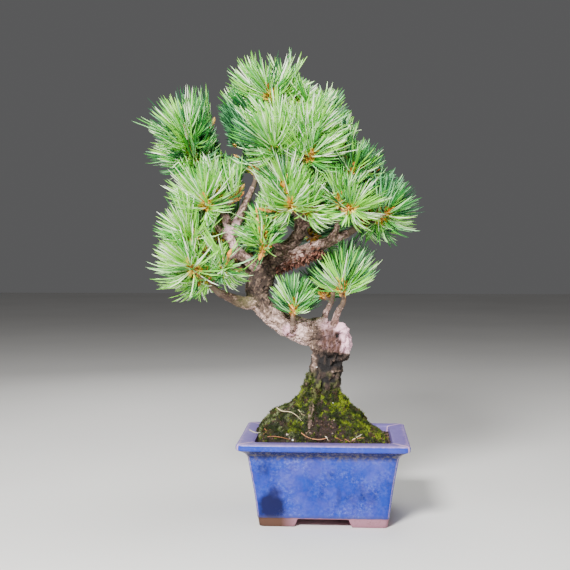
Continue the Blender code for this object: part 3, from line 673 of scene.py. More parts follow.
# Boughs: the radius at the foot and tip, and the route of the middle
boughs = {
    "low_left": (4.6, 2.6, [(-42, -2, 139), (-51, -8, 138), (-65, -14, 144)]),
    "left": (4.2, 2.1, [(-40, 1, 158), (-56, -10, 172), (-64, -9, 193)]),
    "left_low": (2.4, 1.6, [(-55, -10, 171), (-59, -13, 166.5), (-63.5, -14, 164)]),
    "left_side": (2.0, 1.4, [(-58, -11, 176), (-64, -12.5, 182), (-70.5, -13, 189)]),
    "upper_left": (2.2, 1.5, [(-61, -9.5, 187), (-65, -2, 199), (-72, 1, 215)]),
    "inner_left": (3.0, 1.8, [(-58.5, -10, 181), (-52, -7, 196), (-45, -8, 211)]),
    "right": (5.2, 2.6, [(-33, 3, 162.5), (-9, -3, 171), (3.5, -5, 177), (15, -4, 182)]),
    "right_mid": (2.2, 1.6, [(4, -5, 177.5), (7.5, -9, 184), (8.5, -12, 190)]),
    "right_top": (3.2, 1.8, [(-16, 8, 187), (-4, 5, 197), (9, 1, 206)]),
    "inner": (2.6, 1.7, [(-22, 6, 174), (-28.5, -2, 173.5), (-34, -9, 177)]),
    "front": (2.6, 1.6, [(-16, 8, 194), (-17.5, -2, 195), (-19.5, -12, 195)]),
    "centre": (2.6, 1.6, [(-20, 8, 211), (-19, -1, 214), (-19, -8, 218.5)]),
    "top_right": (2.3, 1.5, [(-24, 7, 224), (-18, 6, 231), (-12.5, 6, 237)]),
    "top_left": (2.3, 1.5, [(-26, 6, 230), (-33, 9, 235), (-39, 11, 240)]),
    "graft_back": (2.0, 1.5, [(-2, 0, 120), (0.5, 4, 130), (3.5, 7, 136)]),
    "graft": (2.4, 1.7, [(5, -4, 120), (8.5, -9, 131.5), (11, -12, 136)]),
    "stub": (2.0, 1.6, [(-20, -5, 118), (-19.6, -13, 122), (-19.4, -15, 126)]),
    "back_low": (3.2, 1.8, [(-41, 0, 150), (-46, 12, 154), (-52, 22, 158)]),
    "back": (3.2, 1.8, [(-22, 6, 174), (-19, 16, 178), (-17, 25, 182)]),
    "back_high": (2.6, 1.6, [(-20, 8, 211), (-26, 17, 214), (-33, 24, 217)]),
}
boughForm = {"sides": 20, "steps": 10, "collar": 0.35, "collarLength": 6.0, "uneven": 0.16, "voxel": 0.41}
ruleSteps = 3  # points to each stretch of a limb in the rule that twigs grow by


def limbLine(name, steps):
    # the middle line of a limb with its radius at each point
    if name == "trunk":
        return smoothRoute(trunkForm["climb"], steps)
    foot, tip, route = boughs[name]
    line = smoothRoute(route, steps)
    return np.column_stack([line, np.linspace(foot, tip, len(line))])


def stemRing(height, sides):
    x, y = tableValue(trunkForm["axis"], height)
    radius = tableValue(trunkForm["radii"], height)[0]
    lobes = trunkForm["lobes"] * max(trunkForm["leastLobes"], 1 - (height - 50) / trunkForm["flare"])
    ring = []
    for k in range(sides):
        turn = 2 * math.pi * k / sides
        wave = 0.6 * math.cos(5 * turn + 0.7) + 0.4 * math.cos(3 * turn - 1)
        reach = radius * (1 + lobes * wave)
        ring.append((x + reach * math.cos(turn), y + reach * math.sin(turn), height))
    return ring


def ballShell(middle, half, rows=14, sides=24):
    rings = []
    for row in range(rows):
        lift = math.pi * (row + 0.5) / rows
        rings.append([(middle[0] + half[0] * math.sin(lift) * math.cos(2 * math.pi * k / sides),
                       middle[1] + half[1] * math.sin(lift) * math.sin(2 * math.pi * k / sides),
                       middle[2] - half[2] * math.cos(lift)) for k in range(sides)])
    return ringSkin(rings)


def fuse(name, shells, voxel, finish):
    # overlapping closed shells become one even skin
    piece = makePiece(name, *joinShells(shells), [finish])
    turnOut(piece)
    skin = piece.modifiers.new("skin", "REMESH")
    skin.mode = "VOXEL"
    skin.voxel_size = voxel * mm
    skin.use_smooth_shade = True
    soften = piece.modifiers.new("soften", "SMOOTH")
    soften.factor = 0.5
    soften.iterations = 2
    return settle(piece)


def alongLimbs(lines):
    # samples of each limb's line: place, way, across, other, length so far and radius
    rows = []
    for start, line in enumerate(lines):
        run = start * 97.0
        points = line[:, :3]
        for k, (way, across, other) in enumerate(frames(points)):
            run += np.linalg.norm(points[k] - points[k - 1]) if k else 0
            rows.append((points[k], way, across, other, run, line[k, 3]))
    return rows


def barkRelief(piece, lines, form):
    # plates and cracks that follow each limb, as moved points and as values for the finish
    rows = alongLimbs(lines)
    finder = kdtree.KDTree(len(rows))
    for k, row in enumerate(rows):
        finder.insert(row[0], k)
    finder.balance()
    points = pointsOf(piece)
    normals = normalsOf(piece)
    plate, tone, shift = np.zeros((3, len(points)))
    for n, point in enumerate(points):
        middle, way, across, other, run, radius = rows[finder.find(point)[1]]
        off = point - middle
        flat = Vector((off @ across, off @ other, (run + off @ way) * form["stretch"]))
        flat += noise.noise_vector(Vector(point) / 4.5) * 1.3 + noise.noise_vector(Vector(point) / 1.5) * 0.55
        # each plate and each flake on it has a level of its own
        apart, cells = noise.voronoi(flat / form["plate"])
        small, bits = noise.voronoi(flat / (form["plate"] * 0.45))
        rough = noise.cell(cells[0] * 7.3)
        opened = form["crackWidth"] * (0.7 + 1.6 * lumps(point, 3.0, 8.8))
        plate[n] = min((apart[1] - apart[0]) / max(opened, 0.05), 1.0)
        flake = min((small[1] - small[0]) / 0.4, 1.0)
        grain = lumps(point, 1.1, 3.7)
        tone[n] = 0.5 + 0.22 * rough + 0.22 * noise.cell(bits[0] * 5.1) + 0.3 * grain + 0.15 * (flake - 0.6)
        slim = min(1.0, radius / form["fullRadius"])
        shift[n] = form["depth"] * slim * (ease(0, 1, plate[n]) - 0.75)
        shift[n] += form["depth"] * slim * (0.3 * rough + 0.3 * flake - 0.25 + 0.55 * grain)
        shift[n] += form["swell"] * lumps(point, 9.0, 2.6) * slim
    return points, normals, plate, tone, shift


# Marks in the bark: middle, half sizes and the softness of the edge
marks = {
    "knob": ((6.5, -2, 116), (16, 16, 15), 0.25), "bump": ((-22.1, -9.5, 120), (6.5, 6, 6), 0.5),
    "ridge": ((-6.4, -7.5, 99.5), (2.7, 6, 9.5), 0.6), "ledge": ((7.5, -8, 94.4), (6.5, 7, 1.2), 0.5),
    "litNeck": ((-14, -6, 119), (22, 14, 13), 0.4), "trunkAlgae": ((-52, -6, 138), (14, 12, 8)),
    "peeled": ((-58, -9, 180), (10, 12, 22), 0.5), "graft": ((6, -3, 130), (10, 14, 12)),
    "boughAlgae": ((-50, -7, 139), (14, 12, 9)), "darkBough": ((-62, -12, 142), (17, 12, 12), 0.3),
}
# hollows bitten out of the callus and the neck, each painted near black as shade: middle, half sizes and
# depth
hollows = [((9.4, -11.5, 117.5), (3.6, 4.4, 3.4), 3.0), ((4.5, -10.5, 102.6), (9, 6, 4.6), 4.0),
           ((8.5, -8, 98.5), (6, 6, 2.8), 2.6), ((-1, -10, 105), (3, 4, 3.5), 2.0),
           ((4.5, -10.5, 86.5), (2.4, 5, 6.5), 1.8)]
trunkBark = {"plate": 2.8, "stretch": 0.55, "crackWidth": 0.2, "depth": 0.75, "swell": 0.5, "fullRadius": 6.0}
boughBark = {"plate": 2.0, "stretch": 0.4, "crackWidth": 0.2, "depth": 0.55, "swell": 0.6, "fullRadius": 6.0}


def near(points, middle, half, soft=1.0):
    # nought at the skin of an ellipsoid, rising to one over a soft share of the way in
    reach = np.linalg.norm((points - np.array(middle)) / np.array(half), axis=1)
    return ease(0, soft, 1 - reach)


def makeTrunk(finish):
    stem = ringSkin([stemRing(z, trunkForm["sides"]) for z in np.linspace(50.5, 112, 24)])
    climb = limbLine("trunk", 12)
    shells = [stem, tubeShell(climb[:, :3], climb[:, 3], 28, 0.12, 2.0)]
    shells += [ballShell(*swelling) for swelling in trunkForm["swellings"]]
    rootLines = [smoothRoute(route, 6) for route in trunkForm["roots"]]
    shells += [tubeShell(line[:, :3], line[:, 3], 16, 0.2, 9.0) for line in rootLines]
    trunk = fuse("trunk_bark", shells, trunkForm["voxel"], finish)
    stemLine = np.array([(*tableValue(trunkForm["axis"], z), z, tableValue(trunkForm["radii"], z)[0])
                         for z in np.linspace(50, 110, 60)])
    points, normals, plate, tone, shift = barkRelief(trunk, [stemLine, climb, *rootLines], trunkBark)

    # the callus is smooth flesh above a ragged edge, rosy on its right, streaked on its left
    x, _, z = points.T
    wander = lumpsAt(points, 5.0, 6.1)
    fold = abs(lumpsAt(points, 4.2, 12.1))
    streak = lumpsAt(points * (1.6, 1, 0.5), 2.4, 22.2)
    fissure = lumpsAt(points * (1, 1, 0.6), 2.3, 3.9)
    knob = near(points, *marks["knob"]) * ease(104, 107.5, z + 4 * wander)
    bump = near(points, *marks["bump"])
    rosy = ease(-1.5, 2, x - 7 - 0.32 * np.maximum(124 - z, 0) + 5 * wander)
    rosy = np.maximum(rosy, 0.6 * ease(120, 125, z + 3 * wander))
    fleshy = np.clip(knob * (0.35 + 0.65 * rosy) * ease(-9, 0, x + 8 * wander) + bump, 0, 1)
    flesh = 0.95 * rosy + 0.4 * bump + 0.5 * (np.minimum(fold, 0.35) - 0.2) + (1 - rosy) * 0.55 * streak
    shift = shift * (1 - 0.5 * fleshy) + fleshy * (1.1 * np.minimum(fold, 0.3) / 0.3 - 0.7)
    plate = np.maximum(plate, fleshy * ease(0.0, 0.1, fold))
    # painted shade: each hollow is painted near black as well as bitten in
    damp = np.zeros(len(points))
    for middle, half, depth in hollows:
        bite = near(points, middle, half)
        shift -= bite * depth
        damp = np.maximum(damp, bite)

    # the neck is fissured and darker, with painted shade in its recessed fissures, a pale rib down its left
    # and a pale ledge under a crevice painted black as shade
    neck = ease(107, 103, z + 3 * wander) * ease(74, 88, z)
    shift += neck * (1.7 * fissure - 0.2)
    ridge, ledge = near(points, *marks["ridge"]), near(points, *marks["ledge"])
    shift += ridge * 1.1 + ledge * 1.0
    ridge = np.maximum(ridge, ledge)
    tone += 0.2 * near(points, *marks["litNeck"]) - 0.8 * neck * (1 - 0.8 * ridge)
    # painted shade in the recessed fissures of the neck, patchy with a random stain
    stainAndRecessShade = np.clip(0.5 + 1.1 * wander - 1.8 * fissure, 0, 1)
    damp = np.clip(damp * (1.1 - 1.5 * fissure) + neck * stainAndRecessShade * (1 - 0.8 * ridge), 0, 1)

    # darker shoulder and climb, the climb lighter again near the top as painted light where the crown shades
    # it, algae on the flare and the bend
    shoulder = ease(-13, -3, x) * ease(103, 107, z) * ease(128, 122, z) * (1 - rosy)
    tone -= 0.65 * ease(126, 142, z) + 0.7 * shoulder
    # painted light: the climb is lightened where the crown shades it
    tone += 0.55 * ease(158, 172, z) - 0.5 * ease(86, 74, z)
    algae = ease(97, 86, z) * ease(70, 84, z) * ease(-0.25, 0.25, wander + 0.3 * ease(4, -8, x)) * 0.8
    algae = np.maximum(algae, near(points, *marks["trunkAlgae"]) * 0.6)
    movePoints(trunk, points + normals * shift[:, None])
    for title, values in (("plate", plate), ("tone", tone), ("callus", fleshy), ("flesh", flesh),
                          ("damp", damp), ("algae", algae)):
        addAttribute(trunk.data, title, values)
    return trunk


def makeBoughs(finish):
    shells, lines = [], []
    for name in boughs:
        line = limbLine(name, boughForm["steps"])
        runs = np.linalg.norm(line[:, :3] - line[0, :3], axis=1)
        collar = boughForm["collar"] * np.exp(-(runs / boughForm["collarLength"]) ** 2)
        line[:, 3] *= 1 + collar
        shells.append(tubeShell(line[:, :3], line[:, 3], boughForm["sides"], boughForm["uneven"], 4.0))
        lines.append(line)
    made = fuse("bough_bark", shells, boughForm["voxel"], finish)
    points, normals, plate, tone, shift = barkRelief(made, lines, boughBark)
    peeled = near(points, *marks["peeled"]) * ease(-0.35, 0.05, lumpsAt(points, 3.5, 31.4))
    callus = 0.75 * peeled + 0.5 * near(points, *marks["graft"])
    algae = 0.6 * near(points, *marks["boughAlgae"])
    tone += 0.35 * peeled - 0.1 * (1 - peeled) - 0.3 * near(points, *marks["darkBough"])
    movePoints(made, points + normals * shift[:, None])
    for title, values in (("plate", plate), ("tone", tone), ("callus", callus),
                          ("flesh", 0.95 * peeled + 0.1), ("damp", plate * 0), ("algae", algae)):
        addAttribute(made.data, title, np.clip(values, 0, 1.6))
    return made


# Growing by geometry nodes: one shape at every point, and tubes along every line
def startTree(name, wanted):
    tree = bpy.data.node_groups.new(name, "GeometryNodeTree")
    tree.interface.new_socket("Geometry", in_out="OUTPUT", socket_type="NodeSocketGeometry")
    for title, kind in {"Geometry": "NodeSocketGeometry", **wanted}.items():
        tree.interface.new_socket(title, in_out="INPUT", socket_type=kind)
    return tree, addNode(tree, "NodeGroupInput").node.outputs


def scatterTree(name, finishes):
    # each point's own values say where its copy aims, its width, length, bend and finish
    tree, given = startTree(name, {"Shape": "NodeSocketObject", "Seed": "NodeSocketInt"})
    read = {}
    for title, kind in (("aim", "FLOAT_VECTOR"), ("wide", "FLOAT"), ("long", "FLOAT"),
                        ("sag", "FLOAT_VECTOR"), ("along", "FLOAT"), ("tint", "INT"), ("inner", "INT")):
        read[title] = addNode(tree, "GeometryNodeInputNamedAttribute", {"Name": title}, data_type=kind)
    shape = addNode(tree, "GeometryNodeObjectInfo", {"Object": given["Shape"]}).node.outputs["Geometry"]
    spin = addNode(tree, "FunctionNodeRandomValue", {"Max": 2 * math.pi, "Seed": given["Seed"]},
                   data_type="FLOAT")
    spin = addNode(tree, "FunctionNodeAxisAngleToRotation", {"Axis": (0, 0, 1), "Angle": spin})
    aimed = addNode(tree, "FunctionNodeAlignRotationToVector", {"Vector": read["aim"]}, axis="Z")
    turned = addNode(tree, "FunctionNodeRotateRotation", {"Rotation": aimed, "Rotate By": spin},
                     rotation_space="LOCAL")
    size = addNode(tree, "ShaderNodeCombineXYZ", {"X": read["wide"], "Y": read["wide"], "Z": read["long"]})
    copies = addNode(tree, "GeometryNodeInstanceOnPoints", {
        "Points": given["Geometry"], "Instance": shape, "Rotation": turned, "Scale": size})
    made = addNode(tree, "GeometryNodeRealizeInstances", {"Geometry": copies})
    square = addNode(tree, "ShaderNodeMath", {0: read["along"], 1: read["along"]}, operation="MULTIPLY")
    bend = addNode(tree, "ShaderNodeVectorMath", {"Vector": read["sag"], "Scale": square}, operation="SCALE")
    made = addNode(tree, "GeometryNodeSetPosition", {"Geometry": made, "Offset": bend})
    number = addNode(tree, "FunctionNodeIntegerMath", {0: read["tint"], 1: read["inner"]}, operation="ADD")
    for k, finish in enumerate(finishes):
        chosen = addNode(tree, "FunctionNodeCompare", {"A": number, "B": k}, data_type="INT",
                         operation="EQUAL")
        made = addNode(tree, "GeometryNodeSetMaterial", {
            "Geometry": made, "Selection": chosen, "Material": finish})
    addNode(tree, "NodeGroupOutput", {"Geometry": made})
    return tree


def tubeTree(name, finish):
    # a round tube along every line, as thick as its points say
    tree, given = startTree(name, {"Sides": "NodeSocketInt"})
    thick = addNode(tree, "GeometryNodeInputNamedAttribute", {"Name": "thick"}, data_type="FLOAT")
    lines = addNode(tree, "GeometryNodeMeshToCurve", {"Mesh": given["Geometry"]})
    circle = addNode(tree, "GeometryNodeCurvePrimitiveCircle", {"Resolution": given["Sides"], "Radius": 1.0})
    tubes = addNode(tree, "GeometryNodeCurveToMesh", {
        "Curve": lines, "Profile Curve": circle, "Scale": thick, "Fill Caps": True})
    tubes = addNode(tree, "GeometryNodeRealizeInstances", {"Geometry": tubes})
    tubes = addNode(tree, "GeometryNodeSetMaterial", {"Geometry": tubes, "Material": finish})
    addNode(tree, "NodeGroupOutput", {"Geometry": tubes})
    return tree


def runTree(piece, tree, values):
    # sets the tree's inputs, then keeps what it makes as the piece's own mesh
    grower = piece.modifiers.new("grow", "NODES")
    grower.node_group = tree
    for item in tree.interface.items_tree:
        if item.in_out == "INPUT" and item.name in values:
            grower[item.identifier] = values[item.name]
    settle(piece)
    for title in ("aim", "wide", "long", "sag", "along", "tint", "inner", "thick"):
        if title in piece.data.attributes:
            piece.data.attributes.remove(piece.data.attributes[title])
    print(piece.name, len(piece.data.polygons), "faces")
    return piece


def makeShape(name, points, faces, inner=None):
    # a shape of unit length along Z for copying; inner picks another finish for some faces
    mesh = bpy.data.meshes.new(name)
    mesh.from_pydata([tuple(point) for point in points], [], faces)
    addAttribute(mesh, "along", np.array([max(point[2], 0.0) for point in points]))
    mesh.attributes.new("inner", "INT", "FACE").data.foreach_set("value", inner or [0] * len(faces))
    return addObject(name, mesh)


def scatter(name, tree, shapeMaker, seed, places, aim, wide, long, tint, sag=None):
    # copies of one shape at these places; sizes are given in millimetres
    shape = shapeMaker()
    values = {"aim": np.array(aim, float), "tint": np.array(tint, np.int32)}
    sag = np.zeros((len(places), 3)) if sag is None else sag
    for title, sizes in (("wide", wide), ("long", long), ("sag", sag)):
        values[title] = np.array(sizes, float) * mm
    piece = makePiece(name, places, [], values=values)
    runTree(piece, tree, {"Shape": shape, "Seed": seed})
    discard(shape)
    return piece


# Foliage: every mass grows on from its limb by one rule. A leading twig carries side twigs turned
# round it by the golden angle, these carry short shoots, and bundles of five needles ring each shoot
masses = {
    # lean of the leader and its reach, side twigs, their spread and length, needles, seed
    "low_left": ((-0.45, -0.1, 0.9), 12, 5, 58, 12, 27, 258),
    "left_low": ((-0.6, 0.05, 0.8), 13, 5, 58, 13, 26, 84),
    "left_side": ((-0.3, -0.1, 0.9), 9, 2, 60, 9, 25, 403),
    "left": ((-0.1, -0.2, 1.0), 9, 2, 55, 8, 23, 247),
    "upper_left": ((-0.4, 0.0, 1.0), 23, 6, 54, 11, 26, 345),
    "inner_left": ((0.2, -0.4, 1.0), 13, 4, 60, 11, 26, 364),
    "right_end": ((0.7, -0.1, 0.75), 12, 5, 56, 12, 27, 538),
    "right_mid": ((0.1, -0.5, 0.6), 8, 2, 65, 8, 25, 15),
    "right_top": ((0.6, -0.1, 0.8), 14, 5, 58, 12, 26, 29),
    "inner": ((-0.2, -0.9, 0.2), 7, 2, 60, 6, 20, 379),
    "front": ((0.0, -1.0, 0.3), 8, 3, 65, 8, 26, 403),
    "centre": ((0.05, -0.45, 1.0), 15, 5, 60, 12, 27, 205),
    "top_right": ((0.65, 0.1, 0.65), 12, 4, 55, 11, 26, 364),
    "top_left": ((-0.8, -0.1, 0.1), 9, 4, 62, 9, 25, 205),
    "top": ((-0.05, 0.0, 1.0), 12, 4, 52, 12, 26, 580),
    "graft_back": ((0.0, 0.6, 0.8), 9, 2, 55, 8, 25, 15),
    "graft": ((0.0, -0.1, 1.0), 6, 1, 35, 4, 27, 545),
    "stub": ((0.0, -0.15, 1.0), 4, 0, 40, 4, 20, 1),
    "back_low": ((-0.5, 0.8, 0.4), 14, 5, 62, 12, 26, 321),
    "back": ((0.5, 0.8, 0.5), 15, 5, 65, 14, 27, 321),
    "back_high": ((-0.2, 0.7, 0.8), 15, 5, 62, 12, 27, 321),
}
bearers = {"right_end": "right", "top": "trunk"}  # the other masses share their limb's name
regions = {
    "left": ("low_left", "left_low", "left_side", "left"),
    "upper_left": ("upper_left", "inner_left"),
    "centre": ("inner", "front", "centre", "stub", "graft", "graft_back", "right_mid"),
    "top": ("top", "top_left", "top_right"),
    "right": ("right_end", "right_top"),
    "back": ("back_low", "back", "back_high"),
}
twigRule = {
    "gap": 0.3, "collar": 1.2, "lift": 0.3, "shootLift": 0.25, "places": (0.15, 0.9), "placeStray": 0.08,
    "turnStray": 30, "spreadStray": (0.75, 1.2), "lengthStray": (0.7, 1.25), "needleStray": (0.9, 1.05),
    "shootRadius": 1.8, "twigRadius": 1.2, "clearance": 0.4,
    # length of a shoot, and of the finer ones, which the solids leave out
    "shoot": (9.0, 5.0),
    "fine": 2, "fineOnLeader": 3, "finePlaces": (0.3, 1.0), "fineSpread": (16, 38), "fineLift": 0.45,
    "fineStalk": 2.2, "fineNeedle": (0.74, 0.92), "fineTurnStray": 0.4,
}


def acrossOf(way, helper=(0.3, 1, 0.1)):
    across = unit(np.cross(way, helper))
    return across, np.cross(way, across)


def growTwigs(limb, lean, reach, sideTwigs, spread, twig, needle, seed):
    # each twig as its path, the way its shoot points and the length of its needles
    rng = random.Random(seed)
    line = limbLine(limb, ruleSteps)[:, :3]
    heading = unit(line[-1] - line[-2])
    lean = unit(lean)
    foot = line[-1] + heading * twigRule["gap"]
    collar = foot + heading * twigRule["collar"]
    bend = collar + unit(heading + lean) * reach * 0.5
    head = bend + lean * reach * 0.5
    across, other = acrossOf(lean, (0.31, 0.95, 0.05) if abs(lean[1]) < 0.8 else (1, 0.1, 0))
    up = np.array([0, 0, 1])
    twigs = [([foot, collar, bend, head], unit(lean + up * twigRule["shootLift"]), needle)]
    turn = rng.uniform(0, 360)
    for k in range(sideTwigs):
        along = lerp(*twigRule["places"], (k + 0.5) / sideTwigs)
        along += rng.uniform(-twigRule["placeStray"], twigRule["placeStray"])
        root = lerp(collar, bend, along * 2) if along < 0.5 else lerp(bend, head, along * 2 - 1)
        opening = math.radians(spread * rng.uniform(*twigRule["spreadStray"]))
        stray = rng.uniform(-twigRule["turnStray"], twigRule["turnStray"])
        around = math.radians(turn + stray) + k * goldenAngle
        way = turnedTo(lean, turnedTo(across, other, around), opening)
        length = twig * rng.uniform(*twigRule["lengthStray"])
        elbow = root + way * length * 0.5
        lifted = unit(way + up * twigRule["lift"])
        tip = elbow + lifted * length * 0.5
        own = needle * rng.uniform(*twigRule["needleStray"])
        twigs.append(([root, elbow, tip], unit(lifted + up * twigRule["shootLift"]), own))
    return twigs


def segmentDistances(a, b, starts, ends):
    # from the segment a to b to each of many others
    u = b - a
    v = ends - starts
    w = a - starts
    uu = u @ u
    uv = v @ u
    vv = (v * v).sum(1)
    uw = w @ u
    vw = (v * w).sum(1)
    base = np.maximum(uu * vv - uv * uv, 1e-9)
    s = np.clip((uv * vw - vv * uw) / base, 0, 1)
    t = np.clip((uv * s + vw) / np.maximum(vv, 1e-9), 0, 1)
    s = np.clip((uv * t - uw) / uu, 0, 1)
    gap = w + s[:, None] * u - t[:, None] * v
    return np.linalg.norm(gap, axis=1)


def rodsAlong(points, radii, owner):
    return [(a, b, max(r, s), owner) for a, b, r, s in zip(points, points[1:], radii, radii[1:])]


def isClear(rods, a, b, radius, owner):
    others = [rod for rod in rods if rod[3] != owner]
    starts = np.array([rod[0] for rod in others])
    ends = np.array([rod[1] for rod in others])
    reach = np.array([rod[2] for rod in others]) + radius + twigRule["gap"]
    return bool((segmentDistances(a, b, starts, ends) > reach).all())


def limbRods():
    rods = []
    for name in ("trunk", *boughs):
        line = limbLine(name, ruleSteps)
        rods += rodsAlong(line[:, :3], line[:, 3], "limb")
    heights = (76, 98, 112)
    stem = [np.array((*tableValue(trunkForm["axis"], z), z)) for z in heights]
    rods += rodsAlong(stem, [tableValue(trunkForm["radii"], z)[0] * 1.06 for z in heights], "limb")
    knob = np.array(trunkForm["swellings"][0][0])
    rods += rodsAlong([knob, knob + (0.1, 0, 0)], [11.8 * 1.05] * 2, "limb")
    return rods


def planTwigs(rods):
    # a side twig that would touch a limb or another mass isn't grown
    plans = {}
    for name, mass in masses.items():
        leader, *side = growTwigs(bearers.get(name, name), *mass)
        kept = [leader]
        for twig in side:
            path, axis, _ = twig
            far = path[0] + (path[1] - path[0]) * 0.4
            tip = path[-1] + axis * twigRule["shoot"][0]
            stretches = [(far, path[1]), (path[1], path[2]), (path[2], tip)]
            if all(isClear(rods, a, b, twigRule["shootRadius"], name) for a, b in stretches):
                kept.append(twig)
        for path, axis, _ in kept:
            points = [*path, path[-1] + axis * twigRule["shoot"][0]]
            rods += rodsAlong(points, [twigRule["twigRadius"] + twigRule["clearance"]] * len(points), name)
        plans[name] = kept
    return plans


def growFine(twigs, seed):
    # the same rule one step finer: short shoots beside the end of each twig
    rng = random.Random(seed + 1)
    found = []
    stray = twigRule["fineTurnStray"]
    for number, (path, axis, needle) in enumerate(twigs):
        count = twigRule["fine"] if number else twigRule["fineOnLeader"]
        across, other = acrossOf(axis)
        turn = rng.uniform(0, 2 * math.pi)
        for k in range(count):
            root = lerp(path[-2], path[-1], lerp(*twigRule["finePlaces"], (k + 0.5) / count))
            opening = math.radians(rng.uniform(*twigRule["fineSpread"]))
            around = turn + k * goldenAngle + rng.uniform(-stray, stray)
            way = turnedTo(axis, turnedTo(across, other, around), opening)
            tip = root + way * twigRule["fineStalk"]
            lifted = unit(way + np.array((0, 0, twigRule["fineLift"])))
            found.append(([root, tip], lifted, needle * rng.uniform(*twigRule["fineNeedle"])))
    return found


def everyShoot(plans, fines, name):
    # foot, axis, needle length and kind of each shoot of a mass: 0 on a twig, 1 for the finer ones
    for kind, twigs in enumerate((plans[name], fines[name])):
        for path, axis, needle in twigs:
            yield path[-1], axis, needle, kind


# Stretches of limb that needles in front leave open to view, and how wide
openLanes = [("trunk", 0.3, 0.5, 5.0), ("trunk", 0.5, 0.68, 2.4), ("left", 0.0, 0.62, 4.4),
             ("left_side", 0.2, 0.8, 2.4), ("inner_left", 0.45, 1.0, 3.6), ("right", 0.0, 1.0, 3.4),
             ("inner", 0.0, 0.7, 2.4), ("low_left", 0.35, 0.9, 1.0)]

# Needles: five to a bundle, green with the pale bands of an inner face
needleForm = {
    "bundles": (31, 19), "perBundle": 5, "width": 0.86, "widthStray": (0.85, 1.1), "angles": (16, 84),
    "leastAngle": 4, "angleStray": 7.0, "turnStray": 0.25, "lengthStray": (0.74, 1.06),
    "bladeStray": (0.9, 1.02), "opening": (4, 12), "rootOut": 0.5, "sheath": 0.19,
    # how the tips turn in towards the shoot, up towards the light, up where a mass hangs, and stray,
    # as shares of the length
    "inward": 0.22, "lift": 0.3, "hangingLift": 0.17, "bendStray": 0.06,
    # from painted light at the lit front to painted shade in the depth of the crown
    "greens": ["#93dc4a", "#72c13a", "#4aa337", "#2d7c31", "#184d29"],
    "pales": ["#f4ffe2", "#dafab8", "#bbefa0", "#98da90", "#6ab077"],
    "sheaths": ["#f6e065", "#efd556", "#e2b03c", "#d39a36", "#a8702f"],
    # the tint at the middle of the crown, how it deepens per millimetre to the right and back, as painted
    # shade away from the light on the left and into the depth of the crown, and its spread from shoot to
    # shoot and from bundle to bundle
    "crownMiddle": (-20, -8), "tint": 2.0, "deepens": (0.012, 0.024), "tintSpread": (0.6, 1.4),
    # how much lighter, in tints, some masses are than the rest, as painted light and shade
    "lighter": {"centre": 1.3, "front": 0.9, "top": 1.2, "top_right": 0.5, "graft": 1.2, "inner": 0.4,
                "left_side": 0.2, "left": 0.2, "low_left": 0.2, "left_low": 0.2, "top_left": -1.4,
                "right_mid": -0.2, "right_end": -1.0, "right_top": -0.7, "upper_left": -0.9, "stub": 0.15},
    # places in the view, across and up at the pot's depth, where painted shade darkens the crown between
    # tufts and painted light lightens it: half width, half height and tints
    "shades": [(-57, 243, 24, 20, 3.6), (-92, 164, 14, 17, -1.0), (39, 186, 20, 16, -2.4),
               (-52, 279, 11, 11, -0.8)],
    # how much longer the needles of some masses are
    "longer": {"upper_left": 1.13, "right_end": 1.1},
    # the widest angle where a mass lets its needles hang
    "hanging": {"right_end": 138, "right_mid": 114, "right_top": 108, "front": 106, "centre": 100,
                "inner": 120, "low_left": 138, "left_low": 130, "upper_left": 136, "left_side": 104},
    # the heart of a tuft, its sheaths and bud, which the needles in front leave open: radii at the
    # leading and the side shoots, length, and the share of needles that give way there and at a limb
    "hearts": (3.6, 2.4), "heartLength": 8.0, "heartOpen": 0.85, "laneOpen": 0.97,
    # which shoots of a mass show their hearts, where not all do
    "openHearts": {"upper_left": (), "centre": (1,), "low_left": (0, 1), "left_low": (0, 1),
                   "top_left": (), "back_low": (), "back": (), "back_high": ()},
    # how far the tips stand out into the sky of the view and into the gaps, and how that wanders; the
    # share of cut needles that is dropped, the least share of one kept, and how many stay whole at the
    # thin apex
    "skyOver": (-1, 0, 1, 2.5, 4, 6), "gapOver": (0, 0, 1.5, 3), "skyWander": 6, "skyDrop": 0.4,
    "leastShare": 0.5, "thinKeep": 0.2,
    # how far to the front the tips come
    "front": -59.5,
}
# Places, across and up at the depth of the pot's middle: the sky beside the crown, the gaps inside it
# and the thin apex
skyPatches = [
    [(-40, 318.5), (-33.5, 301), (-17.5, 300.5), (-9, 296), (-15.5, 282), (-7, 268.5), (4, 270),
     (10.5, 266.5), (14.5, 254.5), (19.5, 245.5), (17.3, 241), (26.2, 236.5), (34.7, 231.4), (37.6, 221.9),
     (44.6, 221.3), (52.2, 213), (57.9, 204.8), (59.8, 194.7), (57.4, 185.2), (51.7, 176.3),
     (66.9, 171.2), (92, 177.6), (91, 316.5)],
    [(-128, 320), (-128.5, 262.5), (-118.5, 256.5), (-113, 263.5), (-107.5, 268.5), (-100.5, 274.5),
     (-89, 275), (-74.5, 273), (-71.5, 266.5), (-67, 264), (-62, 276), (-57.5, 284.5), (-51, 294),
     (-42.5, 296), (-35, 299.5), (-34, 318.5)],
    [(-128.5, 216.5), (-102, 211), (-102, 197), (-106, 184), (-109.5, 175.5), (-129, 175.5)],
    [(-128.5, 251.5), (-114, 248.5), (-107, 245.5), (-106, 240.5), (-112.5, 236.5), (-128.5, 235.5)],
]
skyGaps = [
    [(-77, 280), (-66.5, 274.5), (-68.5, 265), (-66.5, 255.5), (-62.5, 248), (-60, 237.5), (-50.5, 235),
     (-52.5, 230), (-60, 230.5), (-66.5, 234), (-68.5, 242), (-72, 252), (-73.5, 260), (-71.5, 268.5)],
    [(-51.5, 221), (-47, 219.5), (-43, 215), (-45, 208.5), (-49, 205.5), (-52, 208), (-54, 215)],
]
thinApex = [[(-43, 284), (-43, 306), (-4, 306), (-4, 279), (-20, 284.5), (-33, 282)]]


